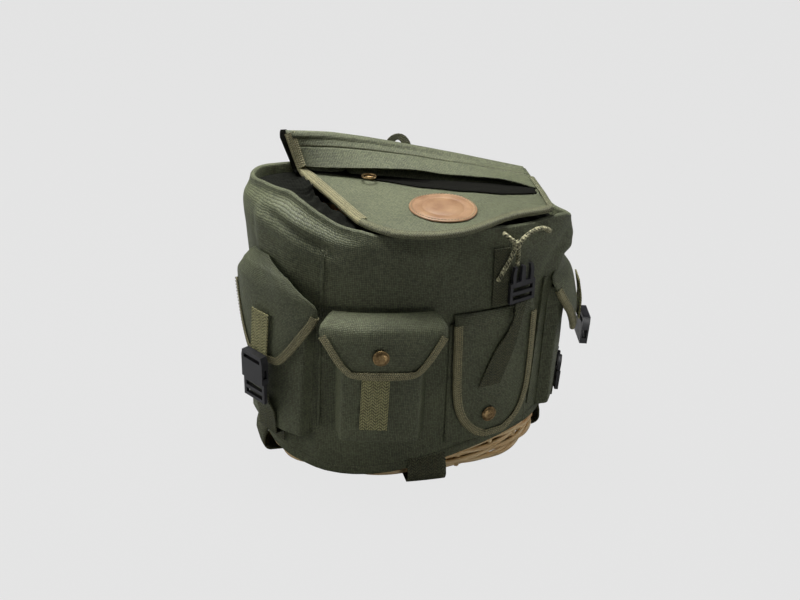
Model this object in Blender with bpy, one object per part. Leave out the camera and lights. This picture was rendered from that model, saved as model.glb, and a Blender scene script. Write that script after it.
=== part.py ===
import math

import bmesh
import bpy
import numpy as np
from mathutils import Matrix, Vector

# A willow pack basket in a fitted canvas cover. Metres, +Z up, the front faces -Y.
# Places on the body are given as a station, a height and an outward distance. The station is
# the way along the wall from the front centre, positive to the viewer's right.

# Body of the cover
RIM_HEIGHT = 0.287
BASE_HALF_WIDTH = 0.155
RIM_HALF_WIDTH = 0.170
BASE_FRONT_DEPTH = 0.110
RIM_FRONT_DEPTH = 0.100
BASE_BACK_DEPTH = 0.085
RIM_BACK_DEPTH = 0.092
FRONT_ROUNDNESS_SHARE = 2.2
BACK_ROUNDNESS_SHARE = 4.0
CANVAS = 0.0018
SEAT_GAP = 0.0004
HEM_HEIGHT = 0.027
HEM_WAVE = 0.0165
HEM_LOW_STATION = -0.090

WALL_PANELS = 60

# Willow basket
WICKER_DROP = 0.047
WICKER_HEIGHT = RIM_HEIGHT - WICKER_DROP
WICKER_THICKNESS = 0.0040
WEAVE_SWING = 0.0022
STAKE_COUNT = 22
WEAVE_ROWS = 15
BASE_THICKNESS = 0.007
RIM_ROD_RADIUS = 0.0050
RIM_ROD_SIDES = 6
FOOT_INSET = 0.007

# Webbing that carries the basket from below
CARRY_WIDTH = 0.040
CARRY_THICKNESS = 0.0018
CARRY_TUCK = 0.022
CARRY_BEND_RADIUS = 0.010

# Bound seams down the front of the cover
SEAM_HALF_WIDTH = 0.003
LEFT_SEAM_STATION = -0.1165
LEFT_SEAM_TOP = 0.268
LEFT_SEAM_FOOT = 0.034
RIGHT_SEAM_TOP = 0.215
RIGHT_SEAM_TOP_STATION = 0.137
RIGHT_SEAM_FOOT = 0.066
RIGHT_SEAM_FOOT_STATION = 0.127

# Gathered collar in the mouth, and its drawcord
COLLAR_REACH = 0.034
COLLAR_DROP = 0.006
COLLAR_RISE = 0.024
COLLAR_HIGH_STATION = -0.205
CORD_DIAMETER = 0.0045
KNOT_STATION = 0.0875
KNOT_HEIGHT = 0.2680
KNOT_OUTWARD = 0.0066

# Front left bellows pocket
BELLOWS_STATION = -0.052
BELLOWS_HALF_WIDTH = 0.0485
BELLOWS_TOP = 0.184
BELLOWS_BOTTOM = 0.062
BELLOWS_DEPTH = 0.023
BELLOWS_FLAP_HALF_WIDTH = 0.058
BELLOWS_FLAP_TOP = 0.206
BELLOWS_ROOF_DROP = 0.012
BELLOWS_FLAP_FALL = 0.049
BELLOWS_FLAP_FOLD = BELLOWS_FLAP_TOP - BELLOWS_ROOF_DROP
BELLOWS_FLAP_BOTTOM = BELLOWS_FLAP_FOLD - BELLOWS_FLAP_FALL
FLAP_CLEARANCE = 0.0050
POCKET_STRIP_WIDTH = 0.029

# Front right flat pocket
FLAT_STATION = 0.070
FLAT_HALF_WIDTH = 0.052
FLAT_TOP = 0.185
FLAT_BOTTOM = 0.046
FLAT_FLAP_HALF_WIDTH = 0.0475
FLAT_FLAP_TOP = 0.1965
FLAT_FLAP_BOTTOM = 0.051

# Side pockets
LEFT_STATION = -0.172
RIGHT_STATION = 0.198
SIDE_HALF_WIDTH = 0.050
SIDE_BOTTOM = 0.050
SIDE_DEPTH = 0.012
SIDE_FLAP_HALF_WIDTH = 0.058
SIDE_FLAP_DROP = 0.037
SIDE_ROOF_DROP = 0.014
SIDE_MOUTH_DROP = 0.050
SIDE_FLAP_TOP = RIM_HEIGHT - SIDE_FLAP_DROP
SIDE_FLAP_FOLD = SIDE_FLAP_TOP - SIDE_ROOF_DROP
SIDE_TOP = SIDE_FLAP_TOP - SIDE_MOUTH_DROP
SIDE_FLAP_BOTTOM = 0.137
RIGHT_FLAP_LIFT = 0.012

# Flap edges and snap fasteners
BINDING_WIDTH = 0.009
BINDING_THICKNESS = 0.0009
BINDING_GAP = 0.0012
FLAP_COLUMNS = 8
SNAP_RADIUS = 0.0085
SNAP_HEIGHT = 0.0032
STUD_RADIUS = 0.0055

# Webbing and side-release buckles
WEBBING_WIDTH = 0.025
WEBBING_THICKNESS = 0.0016
BUCKLE_WIDTH = 0.033
BUCKLE_THICKNESS = 0.0084
SOCKET_LENGTH = 0.032
FRAME_LENGTH = 0.023
PRONG_LENGTH = 0.025
PRONG_THICKNESS = 0.0040
BUCKLE_CLEARANCE = 0.0004
FRONT_STRAP_STATION = 0.0985
FRONT_STRAP_RISE = 0.0040
FRONT_STRAP_HEIGHT = FLAT_FLAP_TOP + FRONT_STRAP_RISE
TAIL_END_STATION = 0.062
TAIL_END_HEIGHT = 0.112
LID_STRAP_LENGTH = 0.020

# Lid; its corners are given by x, y and their height over the rim
LID_THICKNESS = 0.0024
STEP_SHARE = 0.01
HINGE_DEPTH = 0.089
HINGE_RISE = 0.0015
LID_BACK_LEFT = (-0.120, 0.082, 0.0440)
LID_BACK_RIGHT = (0.142, 0.050, 0.0055)
LID_FOLD_LEFT = (-0.1062, 0.069, 0.0045)
LID_FOLD_RIGHT = (0.1358, -0.030, 0.0045)
LID_FRONT_LEFT = (-0.074, -0.070, 0.0045)
LID_FRONT_RIGHT = (0.132, -0.0665, 0.0045)
HINGE_LEFT = -0.104
HINGE_RIGHT = 0.128
LID_CROWN = 0.0025
LID_FRONT_BULGE = 0.045
BULGE_ACROSS_SHARES = (0, 0.07, 0.16, 0.25, 0.33, 0.45, 0.53, 0.61, 0.725, 0.83, 0.92, 1)
BULGE_SHARES = (0, 0.46, 0.82, 0.955, 1, 0.965, 0.84, 0.655, 0.354, 0.18, 0.12, 0)
LID_FOLD_SHARE = 0.27
LID_COLUMNS = 16
LID_BINDING_WIDTH = 0.014
LID_STRAP_SHARES = (0.72, 0.55)
PATCH_SHARES = (0.49, 0.638)
PATCH_RADIUS = 0.0375
PATCH_THICKNESS = 0.0020
ZIP_SETBACK = 0.0065
ZIP_END_SHARES = (0.05, 0.80)
SLIDER_SHARE = 0.28
ZIP_TAPE_HALF_WIDTH = 0.012
ZIP_TAPE_THICKNESS = 0.0010
BAND_LIFT = 0.0110
SLIDER_LENGTH = 0.011
SLIDER_WIDTH = 0.0085
SLIDER_HEIGHT = 0.0042
PULL_RADIUS = 0.0072
PULL_WIRE_RADIUS = 0.0011

# Haul loop and shoulder straps
LOOP_HALF_SPAN = 0.0130
LOOP_RISE = 0.0300
LOOP_WIDTH = 0.0092
STRAP_TOP_STATION = 0.052
STRAP_FOOT_STATION = 0.118
STRAP_TOP = 0.262
STRAP_FOOT = 0.060
STRAP_BULGE = 0.042
PAD_WIDTH = 0.050
PAD_THICKNESS = 0.0085
LOCK_LENGTH = 0.024
LOCK_THICKNESS = 0.0050
LOCK_GAP_SHARE = 0.003

CANVAS_GREEN = (0.105, 0.115, 0.072)
WEBBING_GREEN = (0.085, 0.085, 0.050)
KHAKI = (0.24, 0.21, 0.115)
WILLOW = (0.62, 0.40, 0.20)
LEATHER = (0.56, 0.28, 0.12)
BLACK = (0.020, 0.020, 0.022)
BRASS = (0.30, 0.17, 0.07)

FINISHES = {
    "canvas": (CANVAS_GREEN, 0.85, 0.0),
    "webbing": (WEBBING_GREEN, 0.80, 0.0),
    "khaki": (KHAKI, 0.80, 0.0),
    "willow": (WILLOW, 0.60, 0.0),
    "leather": (LEATHER, 0.55, 0.0),
    "plastic": (BLACK, 0.35, 0.0),
    "brass": (BRASS, 0.40, 1.0),
}


def clear_scene():
    for item in list(bpy.data.objects):
        bpy.data.objects.remove(item, do_unlink=True)


def mix(start, end, share):
    return start + (end - start) * share


def spread(count):
    """Evenly spaced shares from 0 to 1, with count steps."""
    return [step / count for step in range(count + 1)]


def make_material(name, finish):
    colour, roughness, metallic = FINISHES[finish]
    material = bpy.data.materials.new(name)
    material.use_nodes = True
    shader = material.node_tree.nodes["Principled BSDF"]
    shader.inputs["Base Color"].default_value = (*colour, 1.0)
    shader.inputs["Roughness"].default_value = roughness
    shader.inputs["Metallic"].default_value = metallic
    return material


def make_object(name, finish, shape, pivot=None, sharp_angle=35):
    """Turn a bmesh into an object with its own material, its origin at the pivot if it moves."""
    bmesh.ops.recalc_face_normals(shape, faces=shape.faces)
    origin = Vector(pivot) if pivot is not None else Vector()
    bmesh.ops.translate(shape, vec=-origin, verts=shape.verts)
    mesh = bpy.data.meshes.new(name)
    shape.to_mesh(mesh)
    shape.free()
    mesh.shade_smooth()
    mesh.set_sharp_from_angle(angle=math.radians(sharp_angle))
    mesh.materials.append(make_material(name, finish))
    item = bpy.data.objects.new(name, mesh)
    item.location = origin
    bpy.context.scene.collection.objects.link(item)
    return item


# Body surface

def half_sizes(height):
    share = height / RIM_HEIGHT
    return (mix(BASE_HALF_WIDTH, RIM_HALF_WIDTH, share),
            mix(BASE_FRONT_DEPTH, RIM_FRONT_DEPTH, share),
            mix(BASE_BACK_DEPTH, RIM_BACK_DEPTH, share))


def plan_frame(angle, height):
    """A point of the rounded plan and its outward direction; angle 0 is the front centre."""
    width, front, back = half_sizes(height)
    across, along = math.sin(angle), -math.cos(angle)
    depth, power = (front, FRONT_ROUNDNESS_SHARE) if along < 0 else (back, BACK_ROUNDNESS_SHARE)
    reach = (abs(across / width) ** power + abs(along / depth) ** power) ** (-1 / power)
    x, y = reach * across, reach * along
    outward = Vector((math.copysign(abs(x / width) ** (power - 1) / width, x),
                      math.copysign(abs(y / depth) ** (power - 1) / depth, y), 0))
    return Vector((x, y, height)), outward.normalized()


def station_table():
    angles = np.linspace(-math.pi, math.pi, 1441)
    points = [plan_frame(angle, RIM_HEIGHT / 2)[0] for angle in angles]
    steps = [(after - before).length for before, after in zip(points, points[1:])]
    lengths = np.concatenate([[0], np.cumsum(steps)])
    return angles, lengths - np.interp(0, angles, lengths), lengths[-1]


PLAN_ANGLES, PLAN_STATIONS, PERIMETER = station_table()
BACK_STATION = PERIMETER / 2


def wall_frame(station, height):
    station = (station + PERIMETER / 2) % PERIMETER - PERIMETER / 2
    angle = float(np.interp(station, PLAN_STATIONS, PLAN_ANGLES))
    return plan_frame(angle, height)


def wall_point(station, height, outward=0):
    point, normal = wall_frame(station, height)
    return point + normal * outward


def hem_height(station):
    turn = 4 * math.pi * (station - HEM_LOW_STATION) / PERIMETER
    return HEM_HEIGHT - HEM_WAVE * math.cos(turn)


# Solids made from sheets, sweeps and turned profiles

def grid_solid(name, finish, columns, rows, outer, inner, pivot=None):
    """A closed sheet between two surfaces given over columns and rows of shares."""
    shape = bmesh.new()
    faces = []
    for surface in (outer, inner):
        faces.append([[shape.verts.new(surface(u, v)) for u in columns] for v in rows])
    last_row, last_column = len(rows) - 1, len(columns) - 1
    for grid in faces:
        for r in range(last_row):
            for c in range(last_column):
                shape.faces.new((grid[r][c], grid[r][c + 1], grid[r + 1][c + 1], grid[r + 1][c]))
    top, bottom = faces
    for c in range(last_column):
        for r in (0, last_row):
            shape.faces.new((top[r][c], top[r][c + 1], bottom[r][c + 1], bottom[r][c]))
    for r in range(last_row):
        for c in (0, last_column):
            shape.faces.new((top[r][c], top[r + 1][c], bottom[r + 1][c], bottom[r][c]))
    return make_object(name, finish, shape, pivot)


def ring_solid(name, finish, columns, rows, outer, inner):
    """A closed wall that goes right round the body, between an outer and an inner surface."""
    shape = bmesh.new()
    rings = []
    for surface in (outer, inner):
        rings.append([[shape.verts.new(surface(c / columns, v)) for c in range(columns)]
                      for v in rows])
    last_row = len(rows) - 1
    for c in range(columns):
        following = (c + 1) % columns
        for grid in rings:
            for r in range(last_row):
                shape.faces.new((grid[r][c], grid[r][following],
                                 grid[r + 1][following], grid[r + 1][c]))
        for r in (0, last_row):
            shape.faces.new((rings[0][r][c], rings[0][r][following],
                             rings[1][r][following], rings[1][r][c]))
    return make_object(name, finish, shape)


def sweep_solid(name, finish, frames, profile, pivot=None, closed=False):
    """Carry a closed profile along frames, each an origin and two directions."""
    shape = bmesh.new()
    rings = []
    for origin, first, second in frames:
        rings.append([shape.verts.new(origin + first * a + second * b) for a, b in profile])
    count = len(profile)
    pairs = list(zip(rings, rings[1:]))
    if closed:
        pairs.append((rings[-1], rings[0]))
    for before, after in pairs:
        for k in range(count):
            following = (k + 1) % count
            shape.faces.new((before[k], before[following], after[following], after[k]))
    if not closed:
        shape.faces.new(rings[0])
        shape.faces.new(rings[-1])
    return make_object(name, finish, shape, pivot)


def turned_solid(name, finish, profile, place, segments=20, pivot=None):
    """Turn a profile of radius and height about local Z; it starts and ends on the axis."""
    shape = bmesh.new()
    poles = [shape.verts.new((0, 0, profile[0][1])), shape.verts.new((0, 0, profile[-1][1]))]
    rings = []
    for radius, height in profile[1:-1]:
        ring = []
        for step in range(segments):
            turn = 2 * math.pi * step / segments
            ring.append(shape.verts.new((radius * math.cos(turn), radius * math.sin(turn), height)))
        rings.append(ring)
    for step in range(segments):
        following = (step + 1) % segments
        shape.faces.new((poles[0], rings[0][step], rings[0][following]))
        shape.faces.new((poles[1], rings[-1][following], rings[-1][step]))
        for before, after in zip(rings, rings[1:]):
            shape.faces.new((before[step], after[step], after[following], before[following]))
    bmesh.ops.transform(shape, matrix=place, verts=shape.verts)
    return make_object(name, finish, shape, pivot)


def plate(shape, outline, low, high):
    """Add an extruded outline in local X and Z, from low to high along local Y."""
    front = [shape.verts.new((x, low, z)) for x, z in outline]
    back = [shape.verts.new((x, high, z)) for x, z in outline]
    shape.faces.new(front)
    shape.faces.new(list(reversed(back)))
    for k in range(len(outline)):
        following = (k + 1) % len(outline)
        shape.faces.new((front[k], back[k], back[following], front[following]))


def wall_matrix(station, height, outward):
    """Local X along the wall, local Y into it and local Z up its slope."""
    point, normal = wall_frame(station, height)
    slope = wall_point(station, height + CANVAS) - point
    along = slope.cross(normal).normalized()
    up = normal.cross(along)
    up = (up * up.dot(slope) + normal * normal.dot(slope)).normalized()
    place = Matrix((along, up.cross(along), up)).transposed().to_4x4()
    place.translation = point + normal * outward
    return place


def facing_matrix(station, height, outward):
    """Local Z straight out of the wall."""
    return wall_matrix(station, height, outward) @ Matrix.Rotation(math.radians(90), 4, "X")


def draped(name, finish, columns, rows, station, height, inner, thickness, pivot=None):
    """A sheet that follows the wall; inner gives its distance from the wall's face."""
    def outer_point(u, v):
        return wall_point(station(u, v), height(u, v), inner(u, v) + thickness)

    def inner_point(u, v):
        return wall_point(station(u, v), height(u, v), inner(u, v))

    return grid_solid(name, finish, columns, rows, outer_point, inner_point, pivot)


def wall_ribbon(name, finish, route, half_width, thickness, steps=12, columns=2, pivot=None):
    """Webbing along a smooth route of stations, heights and distances from the wall."""
    shares = spread(len(route) - 1)

    def along(v, part):
        return float(np.interp(v, shares, [stop[part] for stop in route]))

    return draped(name, finish, spread(columns), spread(steps),
                  lambda u, v: along(v, 0) + (2 * u - 1) * half_width,
                  lambda u, v: along(v, 1), lambda u, v: along(v, 2), thickness, pivot)


def channel_profile(width, thickness, gap, core):
    """A folded tape round a sheet edge: first direction inward, second across the sheet."""
    reach = core / 2 + gap + thickness
    throat = core / 2 + gap
    back = gap + thickness
    return [(width, reach), (-back, reach), (-back, -reach), (width, -reach),
            (width, -throat), (-gap, -throat), (-gap, throat), (width, throat)]


def edge_frames(points, centre, normals):
    """Frames along a sheet's edge, with the first direction in the sheet and towards its middle."""
    frames = []
    last = len(points) - 1
    for k, point in enumerate(points):
        along = (points[min(k + 1, last)] - points[max(k - 1, 0)]).normalized()
        inward = normals[k].cross(along).normalized()
        if inward.dot(centre - point) < 0:
            inward = -inward
        frames.append((point, inward, normals[k]))
    return frames


# Willow basket

def weave_offset(station, row):
    """In and out of the stakes, the other way round in each next row."""
    turn = math.pi * STAKE_COUNT * (station / PERIMETER)
    return WEAVE_SWING * math.cos(turn) * (1 if row % 2 else -1)


def wicker_face():
    """The middle of the woven wall lies this far from the outside of the cover."""
    return -(CANVAS + CARRY_THICKNESS + 3 * SEAT_GAP + WEAVE_SWING + WICKER_THICKNESS / 2)


def build_basket_wall():
    foot = CARRY_THICKNESS + SEAT_GAP
    rows = spread(WEAVE_ROWS)

    def surface(side):
        def point(u, v):
            station = u * PERIMETER
            row = round(v * WEAVE_ROWS)
            offset = wicker_face() + side * WICKER_THICKNESS / 2 + weave_offset(station, row)
            if row == 0:
                offset -= FOOT_INSET
            return wall_point(station, mix(foot, WICKER_HEIGHT, v), offset)
        return point

    return ring_solid("basket_wall", "willow", 2 * STAKE_COUNT, rows, surface(1), surface(-1))


def build_basket_base():
    inset = wicker_face() - WICKER_THICKNESS / 2 - WEAVE_SWING - 2 * SEAT_GAP - FOOT_INSET
    low = 2 * CARRY_THICKNESS + 3 * SEAT_GAP
    segments = 48
    shape = bmesh.new()
    rings = []
    for height in (low, low + BASE_THICKNESS):
        rings.append([shape.verts.new(wall_point(PERIMETER * k / segments, height, inset))
                      for k in range(segments)])
    shape.faces.new(rings[0])
    shape.faces.new(rings[1])
    for k in range(segments):
        following = (k + 1) % segments
        shape.faces.new((rings[0][k], rings[0][following], rings[1][following], rings[1][k]))
    return make_object("basket_base", "willow", shape)


def build_basket_rim():
    height = WICKER_HEIGHT + RIM_ROD_RADIUS * math.cos(math.pi / RIM_ROD_SIDES) + SEAT_GAP
    segments = 48
    frames = []
    for k in range(segments):
        point, normal = wall_frame(PERIMETER * k / segments, height)
        frames.append((point + normal * wicker_face(), normal, Vector((0, 0, 1))))
    profile = [(RIM_ROD_RADIUS * math.cos(turn), RIM_ROD_RADIUS * math.sin(turn))
               for turn in (2 * math.pi * k / RIM_ROD_SIDES for k in range(RIM_ROD_SIDES))]
    return sweep_solid("basket_rim", "willow", frames, profile, closed=True)


# Cover

def build_cover_shell():
    def surface(outward):
        def point(u, v):
            station = (u - 0.5) * PERIMETER
            return wall_point(station, mix(hem_height(station), RIM_HEIGHT, v), outward)
        return point

    return ring_solid("cover_shell", "canvas", WALL_PANELS, spread(3), surface(0), surface(-CANVAS))


def build_mouth_collar():
    """The gathered cloth inside the mouth: it dips under the lid and stands up at the left."""
    def surface(layer):
        def point(u, v):
            station = (u - 0.5) * PERIMETER
            turn = 2 * math.pi * (station - COLLAR_HIGH_STATION) / PERIMETER
            lift = COLLAR_RISE * max(0, math.cos(turn)) ** 4 - COLLAR_DROP
            inward = CANVAS + SEAT_GAP + COLLAR_REACH * v
            height = RIM_HEIGHT - CANVAS + lift * math.sin(math.pi / 2 * v) - layer
            return wall_point(station, height, -inward)
        return point

    return ring_solid("mouth_collar", "canvas", WALL_PANELS, spread(2), surface(0), surface(CANVAS))


def build_seam_strips():
    """Bound vertical seams: one beside the left pocket and one beyond the flat pocket."""
    ends = {"left": [(LEFT_SEAM_STATION, LEFT_SEAM_TOP), (LEFT_SEAM_STATION, LEFT_SEAM_FOOT)],
            "right": [(RIGHT_SEAM_TOP_STATION, RIGHT_SEAM_TOP),
                      (RIGHT_SEAM_FOOT_STATION, RIGHT_SEAM_FOOT)]}
    for side, places in ends.items():
        wall_ribbon(side + "_seam_strip", "canvas", [(*place, SEAT_GAP) for place in places],
                    SEAM_HALF_WIDTH, BINDING_THICKNESS, 4, 1)


def carry_end(station, layer):
    """One end of a carrying strap: down inside the hem, then round under the basket's foot.

    layer is how far the point lies outside the strap's middle.
    """
    inside = CANVAS + SEAT_GAP + CARRY_THICKNESS / 2
    centre_height = CARRY_BEND_RADIUS + CARRY_THICKNESS / 2
    top = hem_height(station) + CARRY_TUCK
    points = []
    for height in (top, mix(top, centre_height, 0.5)):
        points.append(wall_point(station, height, layer - inside))
    radius = CARRY_BEND_RADIUS + layer
    for step in range(4):
        turn = math.radians(30 * step)
        inset = CARRY_BEND_RADIUS - radius * math.cos(turn)
        height = centre_height - radius * math.sin(turn)
        foot = wall_point(station, centre_height, -inside - inset)
        points.append(Vector((foot.x, foot.y, height)))
    return points


def build_carry_strap(name, first_station, second_station, rise):
    """Webbing from one tucked end under the basket to the other, with a step over a crossing."""
    half = CARRY_WIDTH / 2
    steps = [(-1.6, 0), (-1.1, 1), (1.1, 1), (1.6, 0)] if rise > 0 else []

    def lane(u, layer):
        first = carry_end(first_station + (2 * u - 1) * half, layer)
        second = carry_end(second_station - (2 * u - 1) * half, layer)
        start, end = first[-1], second[-1]
        between = []
        for places, lift in steps:
            share = 0.5 + places * half / (end - start).length
            between.append(start.lerp(end, share) + Vector((0, 0, lift * rise)))
        return first + between + list(reversed(second))

    columns = spread(4)
    last = len(lane(0, 0)) - 1

    def surface(layer):
        lanes = {u: lane(u, layer) for u in columns}
        return lambda u, v: lanes[u][round(v * last)]

    return grid_solid(name, "webbing", columns, spread(last), surface(CARRY_THICKNESS / 2),
                      surface(-CARRY_THICKNESS / 2))


def build_carry_straps():
    build_carry_strap("under_strap_lengthwise", 0, BACK_STATION, 0)
    side_station = float(np.interp(math.pi / 2, PLAN_ANGLES, PLAN_STATIONS))
    build_carry_strap("under_strap_across", -side_station, side_station,
                      CARRY_THICKNESS + SEAT_GAP)


# Pockets and flaps

# Shares down a flap with a roof: its fold is the third, and its bound edge starts at the row given
HUNG_ROWS = [0, 0.14, 0.28, 0.40, 0.54, 0.70, 0.86, 1]
FRONT_EDGE_START = 3
SIDE_EDGE_START = 4
LIFT_SHARE = 1.4


def build_pouch(name, station, half_width, top, bottom, depth, foot_share):
    """An open-topped pouch: a front panel with side and bottom gussets that meet the wall."""
    across_shares = [-1, -1, -0.9, -0.6, -0.3, 0, 0.3, 0.6, 0.9, 1, 1]
    lift_shares = [0, 0.8, 1, 1, 1, 1, 1, 1, 1, 0.8, 0]
    down_shares = [0, 0.2, 0.4, 0.6, 0.8, 0.94, 1, 1]
    fall_shares = [1, 1, 1, 1, 1, 1, 0.8, 0]

    def surface(skin):
        def point(u, v):
            c = round(u * (len(across_shares) - 1))
            r = round(v * (len(down_shares) - 1))
            half = half_width * mix(1, foot_share, down_shares[r]) - skin
            height = mix(top, bottom + skin, down_shares[r])
            outward = SEAT_GAP + (depth - skin) * min(lift_shares[c], fall_shares[r])
            return wall_point(station + across_shares[c] * half, height, outward)
        return point

    return grid_solid(name, "canvas", spread(len(across_shares) - 1), spread(len(down_shares) - 1),
                      surface(0), surface(CANVAS))


def flap_surface(station, top, fold, bottom, depth, widths, half_width, droop, lift=0):
    """Where a flap lies: its roof runs out from the wall to the fold, its face hangs below.

    widths gives pairs of shares: how far down the flap, and the half width there.
    """
    fold_share = HUNG_ROWS[2]
    downs = [down for down, width in widths]
    halves = [width for down, width in widths]

    def place(u, v):
        across = 2 * u - 1
        half = half_width * float(np.interp(v, downs, halves))
        if v <= fold_share:
            share = v / fold_share
            height = mix(top, fold, share ** 1.6)
            outward = mix(0, depth, share)
        else:
            share = (v - fold_share) / (1 - fold_share)
            height = mix(fold, bottom, share)
            outward = depth + lift * share ** LIFT_SHARE
        outward = outward * (1 - droop * abs(across) ** 3)
        return station + across * half, height, SEAT_GAP + CANVAS / 2 + outward
    return place


def build_flap(name, place, rows, pivot, edge_start):
    """A flap and the folded tape round its free edge."""
    def surface(side):
        def point(u, v):
            station, height, outward = place(u, v)
            return wall_point(station, height, outward + side * CANVAS / 2)
        return point

    grid_solid(name, "canvas", spread(FLAP_COLUMNS), rows, surface(1), surface(-1), pivot)
    edge = [(0, v) for v in rows[edge_start:]]
    edge += [(u, 1) for u in spread(FLAP_COLUMNS)[1:-1]]
    edge += [(1, v) for v in reversed(rows[edge_start:])]
    points = []
    normals = []
    for u, v in edge:
        station, height, outward = place(u, v)
        points.append(wall_point(station, height, outward))
        normals.append(flap_normal(place, u, v))
    centre = wall_point(*place(0.5, 0.6))
    profile = channel_profile(BINDING_WIDTH, BINDING_THICKNESS, BINDING_GAP, CANVAS)
    sweep_solid(name + "_binding", "khaki", edge_frames(points, centre, normals), profile, pivot)


def flap_normal(place, u, v):
    """The direction out of a flap's face, from one step across and down it."""
    step_share = 1 / FLAP_COLUMNS
    left = wall_point(*place(max(u - step_share, 0), v))
    right = wall_point(*place(min(u + step_share, 1), v))
    above = wall_point(*place(u, max(v - step_share, 0)))
    below = wall_point(*place(u, min(v + step_share, 1)))
    normal = (below - above).cross(right - left)
    if normal.dot(wall_frame(place(u, v)[0], place(u, v)[1])[1]) < 0:
        normal = -normal
    return normal.normalized()


def build_snap(prefix, station, height, flap_face, pocket_face, pivot):
    """A domed cap on the flap's face, and the stud under it that stands on the pocket."""
    rim = SNAP_HEIGHT * 0.35
    cap_profile = [(0, 0), (SNAP_RADIUS * 0.92, 0), (SNAP_RADIUS, rim / 2), (SNAP_RADIUS, rim),
                   (SNAP_RADIUS * 0.86, SNAP_HEIGHT * 0.72), (SNAP_RADIUS * 0.5, SNAP_HEIGHT * 0.95),
                   (0, SNAP_HEIGHT)]
    turned_solid(prefix + "_snap_cap", "brass", cap_profile,
                 facing_matrix(station, height, flap_face + 2 * SEAT_GAP), 18, pivot)
    tall = flap_face - CANVAS - 4 * SEAT_GAP - pocket_face
    stud_profile = [(0, 0), (STUD_RADIUS, 0), (STUD_RADIUS, tall * 0.4),
                    (STUD_RADIUS * 0.6, tall * 0.5), (STUD_RADIUS * 0.6, tall), (0, tall)]
    turned_solid(prefix + "_snap_stud", "brass", stud_profile,
                 facing_matrix(station, height, pocket_face + 2 * SEAT_GAP), 12)


def hinge_point(station, height):
    return wall_point(station, height, SEAT_GAP + CANVAS / 2)


def build_bellows_pocket():
    build_pouch("front_left_pocket", BELLOWS_STATION, BELLOWS_HALF_WIDTH, BELLOWS_TOP,
                BELLOWS_BOTTOM, BELLOWS_DEPTH, 0.95)
    pivot = hinge_point(BELLOWS_STATION, BELLOWS_FLAP_TOP)
    depth = BELLOWS_DEPTH + FLAP_CLEARANCE + CANVAS
    width_shares = [(0, 0.67), (0.28, 0.92), (0.40, 1), (0.54, 0.99), (0.70, 0.93), (0.86, 0.80),
                    (1, 0.60)]
    place = flap_surface(BELLOWS_STATION, BELLOWS_FLAP_TOP, BELLOWS_FLAP_FOLD,
                         BELLOWS_FLAP_BOTTOM, depth, width_shares, BELLOWS_FLAP_HALF_WIDTH, 0.10)
    build_flap("front_left_flap", place, HUNG_ROWS, pivot, FRONT_EDGE_START)
    snap_station = BELLOWS_STATION - 0.08 * BELLOWS_HALF_WIDTH
    snap_height = mix(BELLOWS_FLAP_BOTTOM, BELLOWS_FLAP_FOLD, 0.50)
    flap_face = SEAT_GAP + CANVAS + depth
    build_snap("front_left", snap_station, snap_height, flap_face, SEAT_GAP + BELLOWS_DEPTH, pivot)
    strip_station = BELLOWS_STATION - 0.14 * BELLOWS_HALF_WIDTH
    strip_top = snap_height - STUD_RADIUS - 4 * SEAT_GAP
    strip_foot = mix(BELLOWS_BOTTOM, BELLOWS_TOP, 0.16)
    seat = BELLOWS_DEPTH + 2 * SEAT_GAP
    wall_ribbon("pocket_webbing_strip", "webbing",
                [(strip_station, strip_top, seat), (strip_station, strip_foot, seat)],
                POCKET_STRIP_WIDTH / 2, WEBBING_THICKNESS, 3, 4)


def flat_flap_face():
    """How far the flat pocket's flap stands out, with the folded tape's inner layer under it."""
    return 2 * CANVAS + 4 * SEAT_GAP + BINDING_THICKNESS + BINDING_GAP


def build_flat_pocket():
    def station(u, v):
        return FLAT_STATION + (2 * u - 1) * FLAT_HALF_WIDTH

    def height(u, v):
        return mix(FLAT_TOP, FLAT_BOTTOM, v)

    draped("front_right_pocket", "canvas", spread(10), spread(3), station, height,
           lambda u, v: SEAT_GAP, CANVAS)
    pivot = hinge_point(FLAT_STATION, FLAT_FLAP_TOP)
    seat = flat_flap_face() - SEAT_GAP - CANVAS

    def place(u, v):
        across = 2 * u - 1
        fall_share = [0, 0.55, 0.7, 0.82, 0.91, 0.97, 1]
        half_share = [1, 0.97, 0.93, 0.82, 0.66, 0.46, 0.30]
        half = FLAT_FLAP_HALF_WIDTH * float(np.interp(v, fall_share, half_share))
        outward = SEAT_GAP + CANVAS / 2 + seat * min(1, 14 * v)
        return FLAT_STATION + across * half, mix(FLAT_FLAP_TOP, FLAT_FLAP_BOTTOM, v), outward

    rows = [0, 1 / 14, 0.28, 0.5, 0.65, 0.76, 0.86, 0.94, 1]
    build_flap("front_right_flap", place, rows, pivot, 1)
    flap_face = flat_flap_face()
    snap_station = FLAT_STATION - 0.12 * FLAT_HALF_WIDTH
    snap_height = mix(FLAT_FLAP_BOTTOM, FLAT_FLAP_TOP, 0.18)
    build_snap("front_right", snap_station, snap_height, flap_face, SEAT_GAP + CANVAS, pivot)


def side_flap_depth():
    return SIDE_DEPTH + FLAP_CLEARANCE


def buckle_outward():
    """The middle of a side buckle, in front of the flap and its bound edge."""
    return (SEAT_GAP + side_flap_depth() + CANVAS + BINDING_GAP + BINDING_THICKNESS
            + WEBBING_THICKNESS + 3 * SEAT_GAP + BUCKLE_THICKNESS / 2)


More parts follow.
